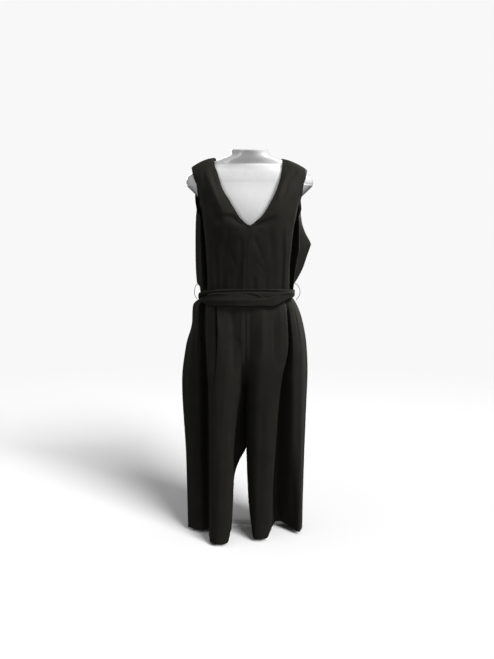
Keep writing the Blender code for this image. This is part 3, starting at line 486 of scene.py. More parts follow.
# The other finishes. A pattern is (scale, detail, stretch), and a bump is (distance, strength). The patches
# change the colour and the roughness, and the grain is raised.
evenly, alongHeight = (1.0, 1.0, 1.0), (1.0, 1.0, .02)
finishes = {
    "formPlastic": {
        "colour": (.86, .86, .865),
        "sockets": {"Coat_Weight": .35, "Coat_Roughness": .10, "Specular_IOR_Level": .5},
        "stops": ((.3, (.835, .835, .84)), (.7, (.875, .875, .875))), "roughness": (.22, .34),
        "patches": (9.0, 3.0, evenly), "patchBump": (.002, .15),
        "grain": (700.0, 1.0, evenly), "grainBump": (.00004, .4)},
    "footPaint": {
        "colour": (.82, .82, .81), "sockets": {"Specular_IOR_Level": .5},
        "stops": ((.3, (.76, .76, .75)), (.6, (.83, .83, .82))), "roughness": (.36, .52),
        "patches": (26.0, 5.0, evenly), "grain": (420.0, 2.0, evenly), "grainBump": (.00015, .5)},
    "brushedSteel": {
        "colour": (.62, .62, .61), "sockets": {"Metallic": 1.0},
        "stops": ((.3, (.55, .55, .54)), (.7, (.66, .66, .65))), "roughness": (.24, .40),
        "patches": (900.0, 3.0, alongHeight), "grain": (900.0, 3.0, alongHeight),
        "grainBump": (.00004, .4)},
    "loopThread": {
        "colour": (.045, .043, .040), "sockets": {"Sheen_Weight": .3, "Specular_IOR_Level": .3},
        "stops": ((.3, (.032, .031, .029)), (.7, (.058, .056, .052))), "roughness": (.62,),
        "patches": (2400.0, 2.0, evenly), "grain": (2400.0, 2.0, evenly), "grainBump": (.0001, .5)},
}


def makeFinish(name):
    values = finishes[name]
    material, shader = startMaterial(name, values["colour"], values["roughness"][0], **values["sockets"])
    links = material.node_tree.links
    place = addNode(material, "ShaderNodeTexCoord").outputs["Object"]
    patches, grain = (noiseOn(material, place, *values[part]) for part in ("patches", "grain"))
    links.new(rampOn(material, patches, values["stops"]), shader.inputs["Base Color"])
    if len(values["roughness"]) > 1:
        links.new(spanOn(material, patches, *values["roughness"]), shader.inputs["Roughness"])
    normal = bumpOn(material, patches, *values["patchBump"]) if "patchBump" in values else None
    links.new(bumpOn(material, grain, *values["grainBump"], normal), shader.inputs["Normal"])
    return material


# the trousers

waistSeam = .790
crotch = .485
hem = .012
hemReach = .130         # a fold's own hem height fades out up to here
hemRows = .0025, .012   # extra rows above the hem

leftSide = [(.79, -.151, .004), (.78, -.167, .006), (.764, -.178, .01), (.71, -.182, .012),
            (.63, -.2025, .018), (.51, -.2165, .024), (.25, -.2045, .03), (.012, -.2, .036)]
rightSide = [(.79, .15, .004), (.765, .165, .008), (.71, .184, .012), (.63, .1975, .016), (.55, .2015, .02),
             (.4, .1975, .024), (.2, .191, .028), (.012, .1875, .034)]
centreFront = [(.79, -.0045, -.101), (.73, -.0045, -.1075), (.64, -.0045, -.109), (.565, -.0045, -.096),
               (.52, -.0045, -.062), (.485, -.0045, 0)]
centreBack = [(.79, -.0045, .096), (.7, -.0045, .11), (.62, -.0045, .112), (.56, -.0045, .098),
              (.52, -.0045, .066), (.485, -.0045, 0)]
leftInseam = [(.485, -.0045, 0), (.479, -.0024, .004), (.47, -.0008, .01), (.452, -.0002, .018),
              (.437, -.0018, .02), (.4, -.002, .021), (.388, -.0002, .023), (.33, .0004, .024),
              (.3, .0002, .02), (.284, -.0044, .014), (.262, -.0165, .01), (.235, -.0295, .009),
              (.206, -.039, .012), (.18, -.0432, .014), (.1, -.0465, .018), (.012, -.051, .024)]
rightInseam = [(.485, -.0045, 0), (.478, -.0046, -.002), (.455, -.0038, -.004), (.32, -.0034, -.004),
               (.27, -.0022, .006), (.15, .003, .014), (.012, .016, .024)]

legPanels = {
    "leg_front_left": {
        "first": leftSide, "last": (centreFront, leftInseam), "seed": 1.0,
        "hems": {"outerCrest": .013, "outerFlat": .0135, "valley": .015, "lobeOuter": .0105,
                 "lobeCrest": .010, "lobeSide": .0105},
        "folds": {
            "outerCrest": [(.79, -.136, -.045), (.75, -.16, -.05), (.7, -.167, -.044), (.6, -.18, -.032),
                           (.485, -.184, -.014), (.25, -.178, .002), (.012, -.172, .012)],
            "outerFlat": [(.79, -.13, -.05), (.768, -.1545, -.05), (.74, -.157, -.054), (.7, -.1565, -.054),
                          (.6, -.157, -.042), (.485, -.158, -.02), (.25, -.155, 0), (.012, -.151, .006)],
            "valley": [(.79, -.122, -.056), (.768, -.144, -.02), (.74, -.1455, -.018), (.7, -.144, -.02),
                       (.6, -.136, -.014), (.485, -.132, .008), (.3, -.131, .024), (.012, -.129, .018)],
            "strip": [(.79, -.112, -.072), (.768, -.1255, -.072), (.74, -.125, -.083), (.7, -.1245, -.09),
                      (.626, -.1245, -.101), (.56, -.1225, -.108), (.485, -.121, -.109),
                      (.4, -.1205, -.108), (.3, -.1205, -.104), (.2, -.1215, -.098), (.1, -.1225, -.086),
                      (.012, -.125, -.052)],
            "stripEdge": [(.79, -.1, -.082), (.767, -.1004, -.09), (.724, -.1002, -.099),
                          (.678, -.0998, -.105), (.64, -.0985, -.1095), (.6, -.099, -.1125),
                          (.568, -.101, -.1148), (.518, -.107, -.1153), (.434, -.1158, -.1133),
                          (.335, -.1194, -.1112), (.2, -.1209, -.1062), (.1, -.1219, -.095),
                          (.012, -.1242, -.064)],
            "groove": [(.79, -.0975, -.066), (.767, -.0976, -.066), (.724, -.0968, -.072),
                       (.678, -.096, -.08), (.64, -.0958, -.0985), (.6, -.0972, -.1085),
                       (.568, -.0998, -.1135), (.518, -.106, -.1148), (.434, -.115, -.113),
                       (.335, -.1188, -.111), (.2, -.1205, -.106), (.1, -.1215, -.095),
                       (.012, -.1238, -.064)],
            "pleat": [(.79, -.0955, -.089), (.767, -.0952, -.0965), (.724, -.0932, -.1085),
                      (.678, -.0922, -.114), (.627, -.0944, -.117), (.568, -.098, -.119),
                      (.518, -.1035, -.1185), (.434, -.1119, -.116), (.335, -.1165, -.115),
                      (.2, -.1185, -.111), (.1, -.1195, -.102), (.012, -.1225, -.078)],
            "lobeOuter": [(.79, -.087, -.0935), (.68, -.0845, -.115), (.58, -.089, -.121),
                          (.485, -.0965, -.122), (.3, -.106, -.121), (.15, -.1105, -.1205),
                          (.012, -.1165, -.119)],
            "lobeCrest": [(.79, -.077, -.097), (.68, -.076, -.1145), (.58, -.079, -.122),
                          (.485, -.084, -.124), (.3, -.09, -.125), (.15, -.094, -.128),
                          (.012, -.098, -.136)],
            "lobeSide": [(.79, -.05, -.1), (.68, -.05, -.112), (.58, -.052, -.119), (.485, -.056, -.121),
                         (.3, -.06, -.122), (.15, -.064, -.125), (.012, -.0665, -.13)],
            "lobeInner": [(.79, -.027, -.1015), (.68, -.03, -.11), (.6, -.028, -.112),
                          (.545, -.0235, -.105), (.506, -.023, -.099), (.44, -.0335, -.099),
                          (.361, -.041, -.099), (.302, -.0445, -.098), (.228, -.045, -.095),
                          (.1, -.051, -.088), (.012, -.0575, -.074)],
            "recess": [(.79, -.0175, -.102), (.68, -.0185, -.11), (.6, -.0165, -.107), (.545, -.014, -.084),
                       (.506, -.016, -.06), (.44, -.025, -.044), (.361, -.033, -.036), (.302, -.038, -.03),
                       (.228, -.043, -.028), (.1, -.0485, -.026), (.012, -.0555, -.022)],
        },
        "creases": [
            (-2.8, 8, 12, [(.775, -.048, .6), (.754, -.049, 1), (.7, -.045, 1), (.64, -.043, 1),
                           (.58, -.042, .7), (.54, -.04, 0)]),
            (1.5, 7, 5, [(.775, -.016, .4), (.754, -.015, 1), (.7, -.0145, 1), (.64, -.014, 1),
                         (.58, -.012, .8), (.55, -.01, 0)]),
            (-2.4, 3, 4, [(.745, -.151, 0), (.699, -.1549, 1), (.625, -.1552, 1), (.57, -.156, 0)]),
            (2.2, 6, 7, [(.76, -.168, .5), (.72, -.172, 1), (.66, -.178, .6), (.6, -.184, 0)]),
            (-2.2, 6, 6, [(.735, -.163, 0), (.68, -.168, 1), (.6, -.172, 1), (.5, -.174, .5),
                          (.42, -.173, 0)]),
            (1.8, 8, 8, [(.6, -.19, 0), (.54, -.193, 1), (.44, -.191, .8), (.36, -.188, 0)]),
            (-1.7, 6, 7, [(.4, -.168, 0), (.3, -.167, 1), (.18, -.164, .8), (.08, -.161, 0)]),
            (1.7, 2.5, 2.5, [(.55, -.0165, 0), (.52, -.017, 1), (.46, -.0205, 1), (.41, -.024, 0)]),
            (-.9, 9, 9, [(.45, -.066, 0), (.38, -.068, 1), (.22, -.072, 1), (.08, -.076, .5),
                          (.02, -.078, 0)]),
            (.9, 8, 8, [(.62, -.064, 0), (.55, -.066, 1), (.42, -.074, .6), (.34, -.076, 0)]),
            (-.8, 5, 6, [(.34, -.096, 0), (.26, -.098, 1), (.12, -.102, .8), (.05, -.104, 0)]),
        ],
    },
    "leg_front_right": {
        "first": (centreFront, rightInseam), "last": rightSide, "seed": 2.0,
        "hems": {"pleat": .019, "valley": .029, "outerFlat": .021, "outerCrest": .012},
        "folds": {
            "lobeInner": [(.79, .022, -.102), (.68, .02, -.1115), (.6, .017, -.1125), (.53, .012, -.102),
                          (.485, .009, -.09), (.4, .006, -.08), (.3, .0045, -.07), (.15, .006, -.06),
                          (.012, .0185, -.056)],
            "lobeSide": [(.79, .042, -.1015), (.68, .042, -.115), (.58, .036, -.119), (.485, .028, -.113),
                         (.3, .023, -.102), (.012, .0245, -.089)],
            "lobeCrest": [(.79, .064, -.098), (.68, .068, -.1115), (.58, .062, -.118), (.485, .056, -.115),
                          (.3, .05, -.106), (.012, .046, -.092)],
            "lobeOuter": [(.79, .088, -.089), (.68, .094, -.1065), (.6, .094, -.1115), (.485, .084, -.108),
                          (.3, .078, -.097), (.1, .0695, -.085), (.012, .0655, -.08)],
            "pleat": [(.79, .109, -.076), (.765, .121, -.082), (.7, .1258, -.096), (.655, .1285, -.095),
                      (.62, .1265, -.096), (.592, .122, -.097), (.546, .111, -.098), (.459, .101, -.093),
                      (.324, .0925, -.08), (.183, .084, -.064), (.038, .0765, -.051), (.012, .0745, -.048)],
            "valley": [(.79, .119, -.06), (.765, .127, -.056), (.7, .13, -.052), (.64, .1325, -.048),
                       (.592, .1265, -.042), (.53, .113, -.028), (.459, .105, -.012), (.324, .098, .008),
                       (.183, .095, .03), (.08, .098, .046), (.012, .104, .056)],
            "outerFlat": [(.79, .13, -.046), (.765, .1355, -.054), (.7, .1425, -.066), (.64, .147, -.068),
                          (.58, .148, -.064), (.485, .148, -.058), (.35, .146, -.044), (.25, .1445, -.03),
                          (.12, .142, -.006), (.012, .139, .022)],
            "outerCrest": [(.79, .141, -.036), (.7, .166, -.044), (.6, .176, -.046), (.485, .176, -.042),
                           (.25, .172, -.03), (.012, .172, -.016)],
        },
        "creases": [
            (-1.6, 6, 10, [(.775, .006, .4), (.745, .007, 1), (.68, .007, 1), (.62, .006, 1),
                           (.57, .004, .6), (.54, .002, 0)]),
            (1.8, 9, 10, [(.77, .052, .4), (.73, .051, 1), (.66, .05, 1), (.6, .047, .5), (.55, .042, 0)]),
            (-1.7, 5, 5, [(.74, .087, 0), (.7, .0868, .7), (.66, .0868, 1), (.628, .0867, 1),
                          (.59, .084, 0)]),
            (1.6, 7, 8, [(.765, .104, .3), (.724, .1065, 1), (.66, .1075, 1), (.61, .1065, .5),
                         (.58, .102, 0)]),
            (-2.2, 3, 4, [(.774, .1494, .6), (.721, .16, 1), (.662, .168, .8), (.62, .172, 0)]),
            (-1.8, 2, 2, [(.6, .1215, 0), (.588, .1165, 1), (.56, .109, 1), (.52, .103, .8),
                          (.47, .099, .5), (.44, .098, 0)]),
            (-.9, 8, 9, [(.48, .052, 0), (.4, .048, 1), (.24, .044, 1), (.1, .04, .6), (.03, .038, 0)]),
            (.9, 7, 7, [(.4, .07, 0), (.32, .068, 1), (.16, .062, .8), (.06, .06, 0)]),
            (-1.4, 4, 4, [(.26, .01, 0), (.219, .0112, 1), (.115, .013, 1), (.06, .018, 0)]),
            (-1.6, 6, 6, [(.56, .166, 0), (.48, .166, 1), (.36, .165, .8), (.28, .163, 0)]),
            (1.4, 6, 7, [(.4, .178, 0), (.3, .176, 1), (.14, .176, 1), (.05, .176, 0)]),
            (-1.8, 7, 8, [(.22, .15, 0), (.14, .152, .8), (.07, .155, 1), (.02, .158, .4)]),
        ],
    },
    "leg_back_right": {
        "first": rightSide, "last": (centreBack, rightInseam), "seed": 3.0, "hems": {},
        "folds": {
            "outerSide": [(.79, .139, .036), (.7, .168, .044), (.58, .184, .05), (.485, .186, .056),
                          (.25, .18, .064), (.012, .177, .078)],
            "outerCrest": [(.79, .12, .0625), (.7, .142, .078), (.58, .152, .092), (.485, .155, .1),
                           (.25, .152, .112), (.012, .15, .124)],
            "valley": [(.79, .088, .082), (.7, .098, .096), (.58, .106, .1), (.485, .108, .097),
                       (.25, .108, .097), (.012, .106, .102)],
            "midCrest": [(.79, .054, .0925), (.68, .058, .112), (.58, .062, .119), (.485, .063, .118),
                         (.25, .064, .122), (.012, .06, .127)],
            "inner": [(.79, .021, .096), (.68, .022, .112), (.58, .021, .107), (.5, .018, .086),
                      (.38, .018, .074), (.2, .02, .072), (.012, .024, .078)],
        },
        "creases": [
            (-2.6, 7, 6, [(.785, .044, 1), (.74, .047, 1), (.68, .05, .8), (.6, .054, 0)]),
            (2.2, 7, 7, [(.785, .062, 1), (.73, .066, 1), (.66, .07, .6), (.57, .073, 0)]),
            (-2.2, 6, 6, [(.785, .082, .9), (.74, .088, 1), (.67, .095, .9), (.58, .101, .4),
                          (.52, .104, 0)]),
            (1.8, 7, 6, [(.785, .026, .8), (.73, .026, 1), (.65, .025, .5), (.59, .024, 0)]),
            (-2, 5, 5, [(.785, .01, .7), (.74, .011, 1), (.66, .012, .6), (.61, .011, 0)]),
            (1.8, 7, 7, [(.77, .108, .5), (.71, .118, 1), (.63, .127, .7), (.55, .131, 0)]),
            (-1.8, 6, 6, [(.72, .156, 0), (.66, .163, 1), (.57, .169, .8), (.47, .17, 0)]),
            (2.4, 9, 8, [(.56, .132, 0), (.46, .133, 1), (.3, .131, .8), (.16, .129, .5), (.04, .128, 0)]),
            (-2.4, 8, 8, [(.6, .086, 0), (.5, .087, 1), (.34, .088, 1), (.15, .086, .8), (.02, .084, .6)]),
            (1.6, 6, 6, [(.44, .04, 0), (.34, .041, 1), (.18, .04, .9), (.05, .04, 0)]),
            (-1.8, 5, 6, [(.545, .012, 0), (.5, .012, 1), (.43, .013, .6), (.38, .013, 0)]),
            (-1.4, 6, 6, [(.3, .166, 0), (.22, .166, 1), (.1, .165, .8), (.03, .164, 0)]),
        ],
    },
    "leg_back_left": {
        "first": (centreBack, leftInseam), "last": leftSide, "seed": 4.0, "hems": {},
        "folds": {
            "inner": [(.79, -.03, .096), (.68, -.032, .112), (.58, -.031, .108), (.5, -.028, .088),
                      (.38, -.028, .076), (.2, -.046, .072), (.012, -.056, .078)],
            "midCrest": [(.79, -.062, .0915), (.68, -.068, .112), (.58, -.072, .12), (.485, -.073, .119),
                         (.25, -.082, .122), (.012, -.09, .129)],
            "valley": [(.79, -.092, .081), (.7, -.107, .092), (.58, -.119, .094), (.485, -.121, .089),
                       (.25, -.121, .084), (.012, -.12, .086)],
            "outerCrest": [(.79, -.122, .0625), (.7, -.149, .078), (.58, -.164, .092), (.485, -.169, .098),
                           (.25, -.165, .106), (.012, -.161, .114)],
            "outerSide": [(.79, -.141, .036), (.7, -.172, .044), (.58, -.195, .052), (.485, -.203, .058),
                          (.25, -.192, .066), (.012, -.188, .074)],
        },
        "creases": [
            (-2.4, 6, 7, [(.785, -.05, 1), (.74, -.053, 1), (.69, -.056, .7), (.62, -.06, 0)]),
            (2, 7, 7, [(.785, -.066, 1), (.73, -.07, 1), (.66, -.075, .7), (.56, -.078, 0)]),
            (-2.4, 6, 6, [(.785, -.088, 1), (.73, -.096, 1), (.65, -.106, .8), (.56, -.112, 0)]),
            (1.8, 6, 8, [(.785, -.03, .8), (.72, -.03, 1), (.64, -.029, .5), (.58, -.028, 0)]),
            (-1.8, 5, 6, [(.785, -.016, .6), (.73, -.0175, 1), (.65, -.018, .5), (.6, -.018, 0)]),
            (2.4, 9, 9, [(.6, -.14, 0), (.5, -.142, 1), (.34, -.14, .8), (.2, -.138, .5), (.05, -.137, 0)]),
            (-2.2, 8, 8, [(.56, -.102, 0), (.46, -.101, 1), (.3, -.103, 1), (.12, -.106, .8),
                          (.02, -.108, .6)]),
            (1.6, 7, 7, [(.42, -.056, 0), (.32, -.06, 1), (.18, -.072, .8), (.06, -.078, 0)]),
            (-1.8, 6, 6, [(.545, -.022, 0), (.5, -.02, 1), (.44, -.022, .6), (.4, -.024, 0)]),
            (-2, 7, 7, [(.7, -.168, 0), (.64, -.178, 1), (.55, -.186, .8), (.46, -.188, 0)]),
            (1.6, 6, 7, [(.36, -.182, 0), (.28, -.18, 1), (.16, -.177, .8), (.06, -.175, 0)]),
        ],
    },
}


# A panel's lines as rows of points. An edge that is a pair of lines changes at its height.
def linesAcross(first, folds, last, changes, heights):
    def edgePoints(edge, change):
        if isinstance(edge, tuple):
            return np.where((heights >= change)[:, None], lineAt(edge[0], heights), lineAt(edge[1], heights))
        return lineAt(edge, heights)

    flat = [edgePoints(first, changes[0])] + [lineAt(line, heights) for line in folds.values()]
    return np.stack(flat + [edgePoints(last, changes[1])], axis=1)


# How each span between two lines is divided: finer towards the panel's edges.
def spanShares(points):
    widths = np.linalg.norm(np.diff(points, axis=1), axis=2).mean(axis=0)
    shares = []
    for k, width in enumerate(widths):
        side = "start" if k == 0 else "end" if k == len(widths) - 1 else ""
        count = max(2, math.ceil(width / sewing["columnStep"])) + (sewing["edgeColumns"] if side else 0)
        shares.append(spread(count, side))
    return shares


# A leg panel's grid, from its hem, with each line's own hem height, to the waist.
def legGrid(values):
    marks = [hem] + [hem + above for above in hemRows] + [crotch]
    marks += [waistSeam - below for below in sewing["waistRows"][::-1]] + [waistSeam]
    heights = heightsBetween(marks)
    flat = linesAcross(values["first"], values["folds"], values["last"], (crotch, crotch), heights)
    names = [""] + list(values["folds"]) + [""]
    hems = np.array([values["hems"].get(name, hem) for name in names])
    drop = np.maximum(0.0, (hemReach - heights) / (hemReach - hem))
    level = heights[:, None] + (hems - hem)[None, :] * drop[:, None]
    points = np.concatenate([flat, level[..., None]], axis=2)
    return rowsThrough(points, spanShares(points)), heights


def makeTrousers(material):
    seams = [("first", 0, waistSeam), ("last", 0, waistSeam)]
    panels = {name: startPanel(values, legGrid(values), ("top",), seams)
              for name, values in legPanels.items()}
    pieces = {name: (name.replace("leg_", "trouser_"), (name,)) for name in panels}
    sewPieces(panels, pieces, lambda panel: [hemStrip(panel)], material)


# the bodice


# The left and the right line of a table of (height, left x, right x, y).
def bothSides(table):
    return ([(height, left, y) for height, left, right, y in table],
            [(height, right, y) for height, left, right, y in table])


vPoint = 1.0174
underarm = 1.055
chest = 1.150           # from here up the rows bend to the slope of the shoulders
neckBack = 1.195
crown = 1.230           # where the folds turn over the shoulders
shoulder = 1.235
underarmRows = 0.0, .001, .003, .006    # extra rows above the underarm and the back of the neck
neckBackRows = 0.0, .0025
topMarks = 1.212, 1.222, 1.2275         # closer rows over the shoulders
topRows = 1.2295, 1.231, 1.2325, 1.2338

bodiceLeftSeam = [(.79, -.151, .004), (.84, -.157, .008), (.92, -.158, .012), (1, -.155, .012),
                  (1.055, -.151, .008)]
bodiceRightSeam = [(.79, .15, .004), (.84, .154, .01), (.9, .164, .014), (.965, .172, .016),
                   (1.01, .171, .014), (1.055, .166, .008)]
centreBodice = [(.79, 0, -.102), (.88, .002, -.113), (.95, .006, -.1205), (1.0174, .009, -.124)]
centreBodiceBack = [(.79, -.0045, .096), (.88, -.003, .096), (.96, .001, .099), (1.05, .006, .102),
                    (1.13, .009, .094), (1.195, .01, .0725)]
leftArmholeFront = [(1.055, -.151, .008), (1.056, -.1503, -.01), (1.0595, -.1493, -.024),
                    (1.066, -.1485, -.034), (1.085, -.15, -.056), (1.111, -.153, -.06),
                    (1.15, -.161, -.053), (1.19, -.172, -.039), (1.235, -.1805, .004)]
rightArmholeFront = [(1.055, .166, .008), (1.056, .1655, -.01), (1.0595, .1653, -.024),
                     (1.066, .1655, -.034), (1.085, .1685, -.056), (1.12, .1745, -.06),
                     (1.15, .1795, -.053), (1.19, .1885, -.039), (1.235, .1955, .004)]
leftNeckline, rightNeckline = bothSides([
    (1.0174, .009, .009, -.124), (1.0227, -.003, .0186, -.124), (1.0319, -.0124, .0285, -.1235),
    (1.0412, -.0217, .0404, -.122), (1.06, -.0342, .056, -.118), (1.0982, -.0562, .0781, -.104),
    (1.1372, -.078, .095, -.085), (1.1773, -.0919, .1075, -.062), (1.2204, -.1055, .115, -.027),
    (1.235, -.105, .114, .005)])
leftArmholeBack, rightArmholeBack = bothSides([
    (1.055, -.151, .166, .008), (1.056, -.1535, .1688, .018), (1.0595, -.1572, .1725, .028),
    (1.066, -.161, .176, .036), (1.085, -.168, .18, .05), (1.12, -.172, .178, .058),
    (1.16, -.171, .18, .054), (1.2, -.174, .187, .038), (1.235, -.1805, .1955, .004)])
leftNeckBack, rightNeckBack = bothSides([
    (1.195, .01, .01, .0725), (1.1975, -.02, .038, .0725), (1.206, -.05, .066, .067),
    (1.218, -.081, .094, .048), (1.23, -.1, .11, .022), (1.235, -.105, .114, .005)])
leftShoulder = ((-.1805, .004, 1.212), (-.1075, .005, 1.244))     # (x, y, z) at its outer and inner end
rightShoulder = ((.1955, .004, 1.2035), (.1128, .005, 1.2412))
shoulderRise = .0058    # above the straight line between them

